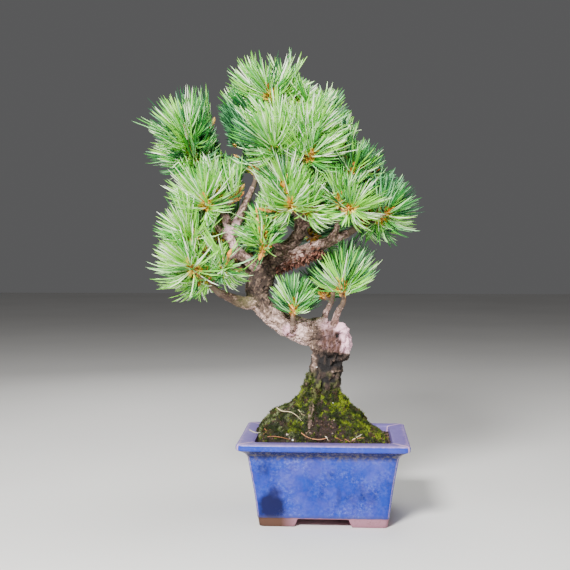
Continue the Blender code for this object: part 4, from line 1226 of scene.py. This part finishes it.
def makeNeedleShape():
    rings = []
    for height, width in ((0.0, 0.8), (needleForm["sheath"], 1.0), (0.62, 1.0), (0.9, 0.6)):
        rings.append([(-0.5 * width, 0.27 * width, height), (0, -0.42 * width, height),
                      (0.5 * width, 0.27 * width, height)])
    points = [point for ring in rings for point in ring] + [(0, 0, 1)]
    faces, inner = [], []
    pale = len(needleForm["greens"])
    for row in range(len(rings) - 1):
        for k in range(3):
            low, high, n = row * 3, row * 3 + 3, (k + 1) % 3
            faces.append((low + k, low + n, high + n, high + k))
            inner.append(2 * pale if row == 0 else pale if k == 1 else 0)
    last = len(points) - 4
    for k in range(3):
        faces.append((last + k, last + (k + 1) % 3, last + 3))
        inner.append(pale if k == 1 else 0)
    faces.append((2, 1, 0))
    inner.append(0)
    return makeShape("needle", points, faces, inner)


def shadeAt(place):
    # how many tints darker painted shade makes the crown at this place; a negative count is painted light
    seen, _ = inView(place)
    tints = 0
    for across, up, wide, high, amount in needleForm["shades"]:
        middle, _ = inView((across, 0, up))
        off = (seen[0] - middle[0]) / (wide, high)
        tints += amount * max(0.0, 1 - off @ off)
    return tints


def growNeedles(name, plans, fines, rng):
    # root, way, length, bend and tint of every needle of a mass
    rows = []
    first, widest = needleForm["angles"]
    widest = needleForm["hanging"].get(name, widest)
    raised = needleForm["lift"] if widest < 100 else needleForm["hangingLift"]
    lightest = needleForm["tint"] - needleForm["lighter"].get(name, 0)
    (middleX, middleY), (toRight, toBack) = needleForm["crownMiddle"], needleForm["deepens"]
    spread, apart = needleForm["tintSpread"]
    stray = needleForm["turnStray"]
    for start, axis, needle, kind in everyShoot(plans, fines, name):
        needle *= needleForm["longer"].get(name, 1)
        across, other = acrossOf(axis)
        turn = rng.uniform(0, 2 * math.pi)
        # the tint deepens as painted shade to the right, away from the light, and to the back
        depth = lightest + toRight * (start[0] - middleX) + toBack * (start[1] - middleY)
        depth = rng.gauss(depth, spread)
        bundles = needleForm["bundles"][kind]
        for k in range(bundles):
            share = (k + 0.5) / bundles
            opening = lerp(first, widest, share) + rng.gauss(0, needleForm["angleStray"])
            opening = math.radians(max(opening, needleForm["leastAngle"]))
            outward = turnedTo(across, other, turn + k * goldenAngle + rng.uniform(-stray, stray))
            way = turnedTo(axis, outward, opening)
            root = start + axis * twigRule["shoot"][kind] * (1 - share) + outward * needleForm["rootOut"]
            bundle = needle * rng.uniform(*needleForm["lengthStray"])
            tint = rng.gauss(depth + shadeAt(root + way * bundle * 0.6), apart)
            tint = min(max(round(tint), 0), len(needleForm["greens"]) - 1)
            side, lift = acrossOf(way, (0.2, 0.3, 0.93))
            spin = rng.uniform(0, 2 * math.pi)
            for n in range(needleForm["perBundle"]):
                lean = math.radians(rng.uniform(*needleForm["opening"]))
                spoke = spin + 2 * math.pi * n / needleForm["perBundle"] + rng.uniform(-0.4, 0.4)
                blade = turnedTo(way, turnedTo(side, lift, spoke), lean)
                length = bundle * rng.uniform(*needleForm["bladeStray"])
                drift = np.array([rng.uniform(-1, 1) for _ in range(3)]) * needleForm["bendStray"]
                bend = axis * needleForm["inward"] * math.sin(opening) + drift
                bend[2] += raised * max(0.0, 0.55 - blade[2])
                rows.append((root, blade, length, bend * length, tint))
    return rows


def clearOfLimbs(rows, rods):
    starts = np.array([root + way * length * 0.25 for root, way, length, _, _ in rows])
    ends = np.array([root + way * length + bend for root, way, length, bend, _ in rows])
    clear = np.ones(len(rows), bool)
    for a, b, radius, owner in rods:
        if owner == "limb":
            clear &= segmentDistances(a, b, starts, ends) > radius
    return [row for row, kept in zip(rows, clear) if kept]


def inView(points):
    # places as the viewer sees them: across and up at the tree's own distance, then depth
    turn = math.radians(cameraForm["turn"])
    off = np.asarray(points, float).reshape(-1, 3) - np.array(cameraForm["place"])
    across = off[:, 0] * math.cos(turn) + off[:, 1] * math.sin(turn)
    depth = off[:, 1] * math.cos(turn) - off[:, 0] * math.sin(turn)
    scale = -cameraForm["place"][1] / depth
    return np.column_stack([across * scale, off[:, 2] * scale]), depth


def hidesLimb(starts, ends):
    # which of these stretches the view shows in front of a limb that it leaves open
    first, near = inView(starts)
    last, far = inView(ends)
    hides = np.zeros(len(first), bool)
    for limb, low, high, reach in openLanes:
        line = limbLine(limb, ruleSteps)[:, :3]
        line = line[int(low * (len(line) - 1)):int(high * (len(line) - 1)) + 1]
        lane, depth = inView(line)
        for a, b, level in zip(lane, lane[1:], depth):
            hides |= (segmentDistances(a, b, first, last) < reach) & ((near + far) / 2 < level)
    return hides


def openShoots(twigs, shoot):
    # the twigs whose shoots leave the open limbs and the sky in view; the leader always stays
    tips = [path[-1] + axis * shoot for path, axis, _ in twigs]
    hides = hidesLimb([path[-1] for path, _, _ in twigs], tips) | inSky(tips, skyPatches + skyGaps)
    return [twig for twig, hidden in zip(twigs, hides) if not hidden]


def inSky(places, patches):
    seen, _ = inView(places)
    inside = np.zeros(len(seen), bool)
    for patch in patches:
        corners, _ = inView([(x, 0, z) for x, z in patch])
        odd = np.zeros(len(seen), bool)
        for (ax, az), (bx, bz) in zip(corners, np.roll(corners, -1, 0)):
            between = (az > seen[:, 1]) != (bz > seen[:, 1])
            edge = ax + (bx - ax) * (seen[:, 1] - az) / (bz - az if bz != az else 1)
            odd ^= between & (seen[:, 0] < edge)
        inside |= odd
    return inside


def shareBefore(rows, patches):
    # how much of each needle, from its root, the view shows outside these patches
    roots, ways, lengths, bends = (np.array(column) for column in list(zip(*rows))[:4])
    share = np.full(len(rows), 1.1)
    for trial in np.linspace(1.0, 0.1, 10):
        places = roots + (ways * lengths[:, None] + bends * trial) * trial
        share = np.where(inSky(places, patches), trial - 0.1, share)
    return share


def belowSky(rows, rng):
    # needles are cut back where they enter the sky of the view, or left out when little would be left
    beside = shareBefore(rows, skyPatches)
    within = shareBefore(rows, skyGaps)
    above = shareBefore(rows, thinApex)
    kept = []
    for (root, way, length, bend, tint), outer, inner, top in zip(rows, beside, within, above):
        over = rng.choice(needleForm["skyOver"]) + needleForm["skyWander"] * lumps(root, 8.0, 41.7)
        part = min(1.0, outer + over / length, inner + rng.choice(needleForm["gapOver"]) / length)
        if rng.random() > needleForm["thinKeep"]:
            part = min(part, top - rng.uniform(0, 0.1))
        if part < 1 and rng.random() < needleForm["skyDrop"]:
            continue
        if part > needleForm["leastShare"]:
            kept.append((root, way, length * part, bend * part * part, tint))
    return kept


def behindFront(rows):
    # needles that would stand out further than the front of the crown stay shorter
    kept = []
    for root, way, length, bend, tint in rows:
        ahead = root[1] - (root + way * length + bend)[1]
        part = min(1.0, (root[1] - needleForm["front"]) / max(ahead, 0.1))
        kept.append((root, way, length * part, bend * part * part, tint))
    return kept


def clearOfView(rows, hearts, rng):
    # the tree is thinned so that its limbs and the hearts of its tufts show from the front
    roots = [root + way * length * 0.15 for root, way, length, _, _ in rows]
    tips = [root + way * length + bend for root, way, length, bend, _ in rows]
    drop = hidesLimb(roots, tips) * needleForm["laneOpen"]
    starts, near = inView(roots)
    ends, far = inView(tips)
    for foot, head, radius in hearts:
        (a, b), depth = inView([foot, head])
        crossed = segmentDistances(a, b, starts + (ends - starts) * 0.2, ends) < radius
        crossed &= (near + far) / 2 < depth[0] - 1
        drop = np.maximum(drop, crossed * needleForm["heartOpen"])
    return [row for row, chance in zip(rows, drop) if rng.random() >= chance]


def makeShootFinish():
    # bark of the young shoots: grey-brown below, orange-brown where the needles stand
    material, tree = startMaterial("Young shoot bark", Roughness=0.75)
    place, _, young = meshValues(tree, "young")
    grain = addNode(tree, "ShaderNodeTexNoise", {"Vector": place, "Scale": perMm(0.9), "Detail": 3.0})
    tone = addNode(tree, "ShaderNodeMath", {0: grain, 1: 0.5, 2: young}, operation="MULTIPLY_ADD")
    stops = list(zip((0.2, 0.55, 0.95), shootForm["barkColours"]))
    dress(tree, addNode(tree, "ShaderNodeValToRGB", {"Fac": tone}, stops=stops), grain, 0.6, 0.2)
    return material


shootForm = {
    # radii of a leader, a twig and a fine twig at foot and end, then of the shoots and the fine shoots
    "sides": 7, "steps": 5, "sink": 1.8, "leader": (1.9, 1.25), "twig": (1.15, 0.85), "fine": (0.7, 0.55),
    "radius": (1.15, 0.75), "knobbly": 0.22,
    # width and length of a bud and a fine bud, and of a scale; scales on a shoot and on a fine one
    "bud": ((2.7, 6.0), (1.5, 3.2)), "scale": (1.0, 2.6), "scales": (26, 12), "crotchScales": 46,
    "barkColours": ["#5a4a3e", "#80634d", "#b07c46"], "budColours": ["#ee9e46", "#c97431", "#f7be5d"],
    # dry scales of the shoots, and the old brown ones under the right bough
    "scaleColours": ["#e1a256", "#b07a41", "#f7cd89", "#6d463a", "#543a30", "#85594a"],
}


def twigLines(twigs, fine, limb):
    # every twig and shoot as a line with thickness and youth at its points
    lines = []
    for number, (path, axis, _) in enumerate(twigs + fine):
        isFine = number >= len(twigs)
        kind = "fine" if isFine else "twig" if number else "leader"
        foot, end = shootForm[kind]
        if kind == "leader":
            foot = max(foot, limbLine(limb, ruleSteps)[-1, 3] * 0.98)
            path = [path[0] - unit(path[1] - path[0]) * shootForm["sink"], *path]
        shoot, width = twigRule["shoot"][isFine], shootForm["radius"][isFine]
        route = smoothRoute([*path, path[-1] + axis * shoot], shootForm["steps"])
        reach = np.linalg.norm(np.diff(route, axis=0), axis=1)
        share = np.concatenate([[0], np.cumsum(reach)]) / reach.sum()
        split = 1 - shoot / reach.sum()
        thick = np.where(share < split, lerp(foot, end, share / split), width)
        thick *= 1 + shootForm["knobbly"] * np.array([lumps(point, 1.6, 5.1) for point in route])
        thick[-1] *= 0.6
        young = ease(split * 0.5, split + 0.15, share)
        lines.append((route, thick, young))
    return lines


def makeTwigs(plans, fines, finish):
    lines, edges, start = [], [], 0
    for name, twigs in plans.items():
        lines += twigLines(twigs, fines[name], bearers.get(name, name))
    routes, thick, young = zip(*lines)
    for route in routes:
        edges += [(k, k + 1) for k in range(start, start + len(route) - 1)]
        start += len(route)
    values = {"thick": np.concatenate(thick) * mm, "young": np.concatenate(young)}
    twigs = makePiece("twigs", np.concatenate(routes), [], edges=edges, values=values)
    runTree(twigs, tubeTree("Twig tubes", finish), {"Sides": shootForm["sides"]})
    turnOut(twigs)
    twigs.data.shade_smooth()
    return twigs


def makeBudShape():
    # a pointed bud with the ends of its scales standing a little off it
    rings = []
    for height, width in ((0, 0.35), (0.12, 0.8), (0.16, 0.72), (0.4, 1.0), (0.45, 0.86), (0.72, 0.62),
                          (0.76, 0.48), (0.94, 0.16)):
        rings.append([(0.5 * width * math.cos(2 * math.pi * k / 7 + height * 5),
                       0.5 * width * math.sin(2 * math.pi * k / 7 + height * 5), height) for k in range(7)])
    return makeShape("bud", *ringSkin(rings))


def makeScaleShape():
    points = [(-0.35, 0, 0), (0.35, 0, 0), (0, 0.18, 0.1), (-0.5, 0.06, 0.55), (0.5, 0.06, 0.55), (0, 0.1, 1)]
    faces = [(0, 2, 1), (0, 3, 2), (1, 2, 4), (2, 3, 5), (2, 5, 4), (0, 1, 4, 5, 3)]
    return makeShape("scale", points, faces)


def makeBuds(plans, fines, finishes):
    rng = random.Random(31)
    rows = []
    for name in plans:
        for foot, axis, _, kind in everyShoot(plans, fines, name):
            wide, long = shootForm["bud"][kind]
            size = rng.uniform(0.8, 1.2)
            place = foot + axis * (twigRule["shoot"][kind] - 0.8)
            rows.append((place, axis, wide * size, long * size, rng.randrange(3)))
    return scatter("buds", scatterTree("Buds", finishes), makeBudShape, 8, *zip(*rows))


def makeScales(plans, fines, finishes):
    # dry scales and needle stubs round the shoots
    rng = random.Random(32)
    rows = []
    wide, long = shootForm["scale"]
    for name in plans:
        for foot, axis, _, kind in everyShoot(plans, fines, name):
            across, other = acrossOf(axis)
            count = shootForm["scales"][kind]
            for k in range(count):
                outward = turnedTo(across, other, k * goldenAngle)
                along = twigRule["shoot"][kind] * ((k + 0.5) / count - 0.25)
                place = foot + axis * along + outward * shootForm["radius"][kind] * 0.75
                size = rng.uniform(0.7, 1.25)
                way = unit(axis + outward * rng.uniform(0.5, 1.1))
                rows.append((place, way, wide * size, long * size, rng.randrange(3)))
    # old brown scales in the crotch under the right bough
    for middle, way, _, _, _, radius in alongLimbs([limbLine("right", 6)[:9]]):
        down = unit(np.array((0, -0.25, -1)) + way * way[2])
        side = np.cross(way, down)
        for k in range(shootForm["crotchScales"]):
            outward = turnedTo(down, side, math.radians(rng.gauss(0, 42)))
            size = rng.uniform(0.9, 1.5)
            place = middle + outward * radius * 0.9 + way * rng.uniform(-1.8, 1.8)
            aim = unit(outward + way * rng.uniform(-0.9, 0.9))
            rows.append((place, aim, wide * size, long * size * 1.4, rng.choice((3, 3, 4, 5, 5))))
    return scatter("scales", scatterTree("Bud scales", finishes), makeScaleShape, 9, *zip(*rows))


def makeNeedles(plans, fines, rods):
    tree = scatterTree("Needles", [*plainFinishes("Waxy needle", needleForm["greens"], 0.36, 0.6),
                                   *plainFinishes("Needle bands", needleForm["pales"], 0.42, 0.5),
                                   *plainFinishes("Needle sheath", needleForm["sheaths"], 0.6)])
    pieces = []
    for seed, (region, names) in enumerate(regions.items()):
        rng = random.Random(seed + 50)
        rows, hearts = [], []
        for name in names:
            rows += growNeedles(name, plans, fines, rng)
            for number, (path, axis, _) in enumerate(plans[name]):
                if number in needleForm["openHearts"].get(name, range(9)):
                    head = path[-1] + axis * needleForm["heartLength"]
                    hearts.append((path[-1], head, needleForm["hearts"][min(number, 1)]))
        rows = belowSky(clearOfLimbs(rows, rods), rng)
        rows = clearOfView(behindFront(rows), hearts, rng)
        places, aim, long, sag, tint = zip(*rows)
        wide = np.array([rng.uniform(*needleForm["widthStray"]) for _ in rows]) * needleForm["width"]
        needles = scatter("needles_" + region, tree, makeNeedleShape, seed,
                          places, aim, wide, long, tint, sag)
        pieces.append(needles)
        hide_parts(*("foliage_" + name for name in names))
    return pieces


# Moss and litter: little tufts on the mound and the foot of the trunk, grit, and fallen needles
mossForm = {
    "tufts": 12500, "onTrunk": 2600, "wide": (0.9, 1.5), "long": (1.0, 2.4),
    "colours": ["#83941d", "#516119", "#364316", "#252f12", "#4b3c29", "#757d55"],
    "ground": ["#2a320f", "#1c220d", "#281b16"],
    # bare soil in the middle of the front; middle, half sizes and softness of a smaller bare patch,
    # of a cushion of fresh moss at the foot of the left root, and of the sunlit shoulder
    "bareMiddle": (1.5, -24.0, 60.0), "bareHalf": (14.0, 14.0, 16.0),
    "barePatch": ((24, -28, 58), (9, 9, 5), 0.6), "freshPatch": ((-19, -25, 62), (8, 10, 7), 0.5),
    "sunnyPatch": ((-12, -10, 81), (13, 12, 15), 0.5),
}
litterForm = {
    "grit": 1500, "gritSize": (0.7, 1.7), "specks": 2200, "speckSize": (0.6, 1.7),
    "gritColours": ["#33251f", "#564238", "#8b7a6c", "#cdbfa9", "#f7f7f4"],
    "gritWeights": [12, 8, 1.6, 0.15, 0.01],
    "needleColours": ["#bb8258", "#93603f", "#cdbb94", "#e8dcbc"], "needleWidth": 0.66,
    # fallen needles as the view shows them: the two ends, how far the middle hangs, and the colour
    "fallen": [((-39, -29, 55.4), (-32.2, -29, 60.4), 0.4, 0),
               ((-33.9, -31, 56.5), (-20.3, -32, 55), -0.8, 1),
               ((-13.6, -30, 59), (-6.8, -32, 55.7), 0.5, 0), ((-6.8, -32, 55.7), (3, -32, 56.5), 0.6, 0),
               ((7.3, -31, 56.3), (12.2, -32, 54.7), 0.3, 1), ((17.7, -32, 54.8), (25, -31, 56.5), -0.4, 0),
               ((33.5, -31, 55.4), (40.8, -31, 58), 0.3, 0), ((-33.5, -20, 72.6), (-13.2, -26, 66), -6, 2),
               ((31.1, -31, 57.2), (39.9, -31, 58.9), 0.2, 1), ((-36, -28, 61), (-29, -29, 57), 0.6, 1),
               ((-45.4, -30, 60.2), (-38.3, -30, 59.3), 1.4, 3), ((18, -31, 54.9), (25.4, -31, 59.9), 0.8, 3),
               ((1.2, -32, 57.1), (3.3, -32, 54.6), -0.6, 3)],
    # pale scraps of bark and shell, each place with its size
    "flecks": [(-18.6, -32, 55, 1.6), (5.8, -20, 76.1, 1.1), (11.4, -19, 76, 1.3), (-4.8, -10, 97.3, 1.0)],
    "strays": 26, "needleSteps": 8,
}


def makeMossGround():
    # damp peat and moss felt under the tufts, bare brown soil in front
    material, tree = startMaterial("Moss felt", Roughness=0.97)
    place, _, bare, sunny = meshValues(tree, "bare", "sunny")
    grain = addNode(tree, "ShaderNodeTexNoise", {
        "Vector": place, "Scale": perMm(1.2), "Detail": 5.0, "Roughness": 0.7})
    bright, colour, soil = [toLinear(paint) for paint in mossForm["ground"]]
    for amount, paint in ((sunny, bright), (bare, soil)):
        colour = addNode(tree, "ShaderNodeMix", {"Factor": amount, "A": colour, "B": paint}, data_type="RGBA")
    shade = addNode(tree, "ShaderNodeMapRange", {
        "Value": grain, "From Min": 0.3, "From Max": 0.75, "To Min": 0.45, "To Max": 1.5})
    colour = addNode(tree, "ShaderNodeVectorMath", {"Vector": colour, "Scale": shade}, operation="SCALE")
    dress(tree, colour, grain, 0.8, 0.5)
    return material


def bareness(points):
    reach = (points - np.array(mossForm["bareMiddle"])) / np.array(mossForm["bareHalf"])
    ragged = lumpsAt(points, 4.5, 14.2)
    middle = ease(0.1, 0.45, 1 - np.linalg.norm(reach, axis=1) + 0.5 * ragged)
    edge = ease(57.5, 52.5, points[:, 2] + 7 * ragged) * 0.85
    patches = ease(0.2, 0.4, lumpsAt(points, 6.5, 21.3)) * 0.7
    patches = np.maximum(patches, 0.8 * near(points, *mossForm["barePatch"]))
    return np.maximum(np.maximum(middle, edge), patches) * (1 - near(points, *mossForm["freshPatch"]))


def sunniness(points):
    ragged = lumpsAt(points, 7.0, 15.9)
    side = ease(-6, 16, points[:, 0] + 12 * ragged) * ease(14, -8, points[:, 1] + 8 * ragged)
    side = np.maximum(side, 0.75 * near(points, *mossForm["sunnyPatch"]))
    side *= 0.3 + 0.7 * ease(-0.1, 0.25, ragged)
    return np.maximum(side, 0.75 * near(points, *mossForm["freshPatch"]))


def surfaceSamples(piece, count, seed):
    # places spread evenly over a piece's skin, with the way out of it at each
    piece.data.calc_loop_triangles()
    corners = np.empty(len(piece.data.loop_triangles) * 3, np.int32)
    piece.data.loop_triangles.foreach_get("vertices", corners)
    triangles = pointsOf(piece)[corners.reshape(-1, 3)]
    cross = np.cross(triangles[:, 1] - triangles[:, 0], triangles[:, 2] - triangles[:, 0])
    areas = np.linalg.norm(cross, axis=1)
    rng = np.random.default_rng(seed)
    pick = rng.choice(len(areas), count, p=areas / areas.sum())
    u, v = rng.random((2, count))
    over = u + v > 1
    u[over], v[over] = 1 - u[over], 1 - v[over]
    a, b, c = (triangles[pick, k] for k in range(3))
    places = a + (b - a) * u[:, None] + (c - a) * v[:, None]
    return places, cross[pick] / areas[pick, None], rng


def makeTuftShape():
    # four pointed leaves leaning out from one foot
    shells = []
    for k in range(4):
        turn = k * goldenAngle
        out = np.array((math.cos(turn), math.sin(turn), 0))
        side = np.array((-math.sin(turn), math.cos(turn), 0))
        tip = out * (0.25 + 0.12 * k) + (0, 0, 1 - 0.13 * k)
        foot = [out * 0.25 - side * 0.14, out * 0.25 + side * 0.14, -out * 0.05]
        points = [*(point - (0, 0, 0.2) for point in foot), tip]
        shells.append((points, [(0, 2, 1), (0, 1, 3), (1, 2, 3), (2, 0, 3)]))
    return makeShape("tuft", *joinShells(shells))


def makeMoss(mound, trunk):
    count, onTrunk = mossForm["tufts"], mossForm["onTrunk"]
    places, ways, rng = surfaceSamples(mound, count * 2, 3)
    keep = rng.random(len(places)) > bareness(places) * 0.85
    keep &= (ways[:, 2] > -0.3) & (places[:, 2] > 50.5)
    places, ways = places[keep][:count], ways[keep][:count]
    # up the foot of the trunk, higher on its left
    bark, outOfBark, _ = surfaceSamples(trunk, onTrunk * 30, 4)
    x, _, z = bark.T
    top = 82 + 12 * ease(3, -8, x) - 5 * ease(-8, 0, x) * ease(9, 3, x)
    keep = (z + 14 * lumpsAt(bark, 4.0, 16.6) < top) & (z > 66)
    places = np.concatenate([places, bark[keep][:onTrunk]])
    ways = np.concatenate([ways, outOfBark[keep][:onTrunk]])
    places = places - ways * 0.1
    sunny = sunniness(places)
    level = 2.6 - 2.4 * sunny - 3.4 * lumpsAt(places, 3.0, 17.7) + rng.normal(0, 0.6, len(places))
    tint = np.clip(np.round(level), 0, 3).astype(int)
    brown = np.maximum(lumpsAt(places, 5.0, 26.3) - 0.1, 0)
    tint[rng.random(len(places)) < 0.04 + 1.6 * brown] = 4
    # grey-green lichen on the left flank
    lichen = ease(0.05, 0.3, lumpsAt(places, 5.5, 37.2)) * ease(-6, -14, places[:, 0])
    tint[rng.random(len(places)) < 0.75 * lichen * (1 - sunny)] = 5
    wide = rng.uniform(*mossForm["wide"], len(places))
    long = rng.uniform(*mossForm["long"], len(places)) * (0.75 + 0.35 * sunny)
    aim = ways + np.array((0, 0, 0.35)) + rng.normal(0, 0.25, (len(places), 3))
    tree = scatterTree("Moss tufts", plainFinishes("Moss leaf", mossForm["colours"], 0.9))
    pieces = []
    for side, own in (("left", places[:, 0] < 0), ("right", places[:, 0] >= 0)):
        columns = [column[own] for column in (places, aim, wide, long, tint)]
        pieces.append(scatter("moss_" + side, tree, makeTuftShape, 5, *columns))
    return pieces


def makeStoneShape():
    form = bmesh.new()
    bmesh.ops.create_icosphere(form, subdivisions=1, radius=0.5)
    points = [np.array(vert.co) * (1 + 0.3 * noise.cell(vert.co * 7.7)) for vert in form.verts]
    form.verts.index_update()
    faces = [tuple(vert.index for vert in face.verts) for face in form.faces]
    form.free()
    return makeShape("stone", points, faces)


def groundUnder(points, ground):
    # where the view's own line through each point meets the ground
    eye = Vector(cameraForm["place"])
    found = []
    for point in points:
        hit, way, _, _ = ground.ray_cast(eye, (Vector(point) - eye).normalized())
        found.append(np.array(hit + way * 0.35) if hit else np.array(point, float))
    return found


def laidOn(point, ground):
    # the point, moved to lie on the ground or a little over it
    hit, way, _, _ = ground.find_nearest(Vector(point))
    over = (Vector(point) - hit).dot(way)
    return np.array(Vector(point) + way * (min(max(over, 0.35), 1.6) - over))


def groundTree(pieces):
    shells = []
    for piece in pieces:
        faces = [tuple(polygon.vertices) for polygon in piece.data.polygons]
        shells.append((list(pointsOf(piece)), faces))
    points, faces = joinShells(shells)
    return BVHTree.FromPolygons([Vector(point) for point in points], faces)


def makeGrit(soil, mound, finishes):
    grains, specks = litterForm["grit"], litterForm["specks"]
    places, ways, rng = surfaceSamples(soil, grains * 6, 6)
    keep = (places[:, 2] > 48.5) & (ways[:, 2] > 0.5)
    onMound, _, _ = surfaceSamples(mound, specks * 40, 7)
    bare = bareness(onMound) > rng.random(len(onMound))
    places = np.concatenate([places[keep][:grains], onMound[bare][:specks]])
    count = len(places)
    wide = rng.uniform(*litterForm["gritSize"], count)
    wide[-specks:] = rng.uniform(*litterForm["speckSize"], count)[-specks:]
    weights = np.array(litterForm["gritWeights"])
    return scatter("grit", scatterTree("Grit", finishes), makeStoneShape, 12, places,
                   rng.normal(0, 1, (count, 3)), wide, wide * rng.uniform(0.6, 1.1, count),
                   rng.choice(len(weights), count, p=weights / weights.sum()))


def makeFallen(ground, mound, finishes):
    # each fallen needle runs from end to end over the ground, its middle bowed
    steps = litterForm["needleSteps"]
    rows = []
    for a, b, bow, tint in litterForm["fallen"]:
        rows.append((*groundUnder([a, b], ground), bow, tint))
    places, ways, rng = surfaceSamples(mound, litterForm["strays"] * 3, 18)
    for place, way in zip(places[:litterForm["strays"]], ways):
        along = unit(np.cross(way, rng.normal(0, 1, 3)))
        rows.append((place, place + along * rng.uniform(7, 14), -0.6, int(rng.integers(0, 3))))
    lines = [[] for _ in finishes]
    for a, b, bow, tint in rows:
        line = []
        for share in np.arange(steps + 1) / steps:
            line.append(lerp(a, b, share) + np.array((0, -0.3 * bow, -bow)) * 4 * share * (1 - share))
        line = np.array([laidOn(point, ground) for point in line])
        for _ in range(3):
            line[1:-1] = (line[:-2] + 2 * line[1:-1] + line[2:]) / 4
        lines[tint].append(line)
    thick = litterForm["needleWidth"] / 2 * (1 - 0.7 * (np.arange(steps + 1) / steps) ** 3)
    pieces = []
    for finish, own in zip(finishes, lines):
        starts = range(0, len(own) * (steps + 1), steps + 1)
        edges = [(start + k, start + k + 1) for start in starts for k in range(steps)]
        piece = makePiece("fallen", np.concatenate(own), [], edges=edges,
                          values={"thick": np.tile(thick, len(own)) * mm})
        pieces.append(runTree(piece, tubeTree("Fallen needles", finish), {"Sides": 5}))
        turnOut(piece)
    return joinPieces("fallen_needles", pieces)


def makeFlecks(ground, finishes):
    places = groundUnder([row[:3] for row in litterForm["flecks"]], ground)
    sizes = np.array([row[3] for row in litterForm["flecks"]])
    palest = [len(finishes) - 1] * len(places)
    return scatter("flecks", scatterTree("Flecks", finishes), makeStoneShape, 14, places,
                   [(0.3, -0.4, 1.0)] * len(places), sizes, sizes * 0.6, palest)


# The view of the photograph: eye and angles
cameraForm = {"place": (14.7, -643.4, 174.1), "turn": 3.56, "dip": 2.25, "lens": 63.54, "sensor": 36.0}
studio = {
    "floor": "#e2e0dc", "floorShade": "#dad8d4", "floorHalf": 3000, "aimHeight": 140,
    "world": "#f1f1f3", "worldStrength": 0.12,
    # place in millimetres, size and power of each soft light
    "lights": [("key", (-200, -640, 560), 200, 17.8), ("fill", (620, -420, 300), 500, 1.6),
               ("top", (60, 120, 760), 400, 3), ("back", (-260, 560, 420), 420, 1)],
}


def makeStudio():
    # matt paper, almost even
    material, tree = startMaterial("Pale studio floor", Roughness=0.8)
    place, _ = meshValues(tree)
    cloud = addNode(tree, "ShaderNodeTexNoise", {"Vector": place, "Scale": 3.0, "Detail": 2.0})
    colour = addNode(tree, "ShaderNodeValToRGB", {"Fac": cloud}, stops=[
        (0.3, studio["floorShade"]), (0.7, studio["floor"])])
    tree.links.new(colour, tree.nodes["Principled BSDF"].inputs["Base Color"])
    half = studio["floorHalf"]
    corners = [(x * half, y * half, 0) for x, y in ((-1, -1), (1, -1), (1, 1), (-1, 1))]
    floor = makePiece("floor", corners, [(0, 1, 2, 3)], [material])
    world = bpy.data.worlds.new("Soft studio")
    world.use_nodes = True
    sky = world.node_tree.nodes["Background"]
    sky.inputs["Color"].default_value = toLinear(studio["world"])
    sky.inputs["Strength"].default_value = studio["worldStrength"]
    bpy.context.scene.world = world
    aim = Vector((0, 0, studio["aimHeight"] * mm)) + Vector(potMiddle)
    for name, place, size, power in studio["lights"]:
        lamp = bpy.data.lights.new(name, "AREA")
        lamp.shape = "DISK"
        lamp.size = size * mm
        lamp.energy = power
        light = addObject(name, lamp)
        light.location = Vector(place) * mm + Vector(potMiddle)
        light.rotation_euler = (aim - light.location).to_track_quat("-Z", "Y").to_euler()


def makeCamera():
    data = bpy.data.cameras.new("view")
    data.lens = cameraForm["lens"]
    data.sensor_width = cameraForm["sensor"]
    data.clip_start = 0.01
    camera = addObject("view", data)
    camera.location = Vector(cameraForm["place"]) * mm + Vector(potMiddle)
    camera.rotation_euler = (math.radians(90 - cameraForm["dip"]), 0, math.radians(cameraForm["turn"]))
    bpy.context.scene.camera = camera


pot = makePot(makeGlaze(), makeClay())
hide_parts("pot")
print("pot", len(pot.data.polygons), "faces")

soil = makeSoil(makeSoilFinish())
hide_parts("soil")
mound = makeMound(makeMossGround())
moundPoints = pointsOf(mound)
addAttribute(mound.data, "bare", bareness(moundPoints))
addAttribute(mound.data, "sunny", sunniness(moundPoints))
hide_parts("moss_mound")
print("soil and mound", len(mound.data.polygons), "faces")

trunkFinish = makeBark("Pine bark", 0.0)
trunk = makeTrunk(trunkFinish)
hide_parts("trunk")
print("trunk", len(trunk.data.polygons), "faces")
boughPiece = makeBoughs(makeBark("Bough bark", 0.15))
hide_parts(*("bough_" + name for name in boughs))
print("boughs", len(boughPiece.data.polygons), "faces")

rods = limbRods()
plans = planTwigs(rods)
fines = {}
for name, (leader, *side) in plans.items():
    plans[name] = [leader, *openShoots(side, twigRule["shoot"][0])]
    fines[name] = openShoots(growFine(plans[name], masses[name][-1]), twigRule["shoot"][1])
print("shoots", sum(map(len, plans.values())), "fine", sum(map(len, fines.values())))
twigPiece = makeTwigs(plans, fines, makeShootFinish())
buds = makeBuds(plans, fines, plainFinishes("Bud scales", shootForm["budColours"], 0.6))
scales = makeScales(plans, fines, plainFinishes("Shoot scales", shootForm["scaleColours"], 0.7))
needlePieces = makeNeedles(plans, fines, rods)

mossPieces = makeMoss(mound, trunk)
ground = groundTree([soil, mound, pot])
gritFinishes = plainFinishes("Grit grain", litterForm["gritColours"], 0.9)
grit = makeGrit(soil, mound, gritFinishes)
flecks = makeFlecks(ground, gritFinishes)
fallen = makeFallen(ground, mound, plainFinishes("Dead needle", litterForm["needleColours"], 0.6))

for piece in (pot, soil, mound, trunk, boughPiece, twigPiece, buds, scales, *needlePieces, *mossPieces,
              grit, flecks, fallen):
    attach(piece, "root")
print("all pieces ride on the plant")

makeStudio()
makeCamera()
bpy.context.view_layer.update()
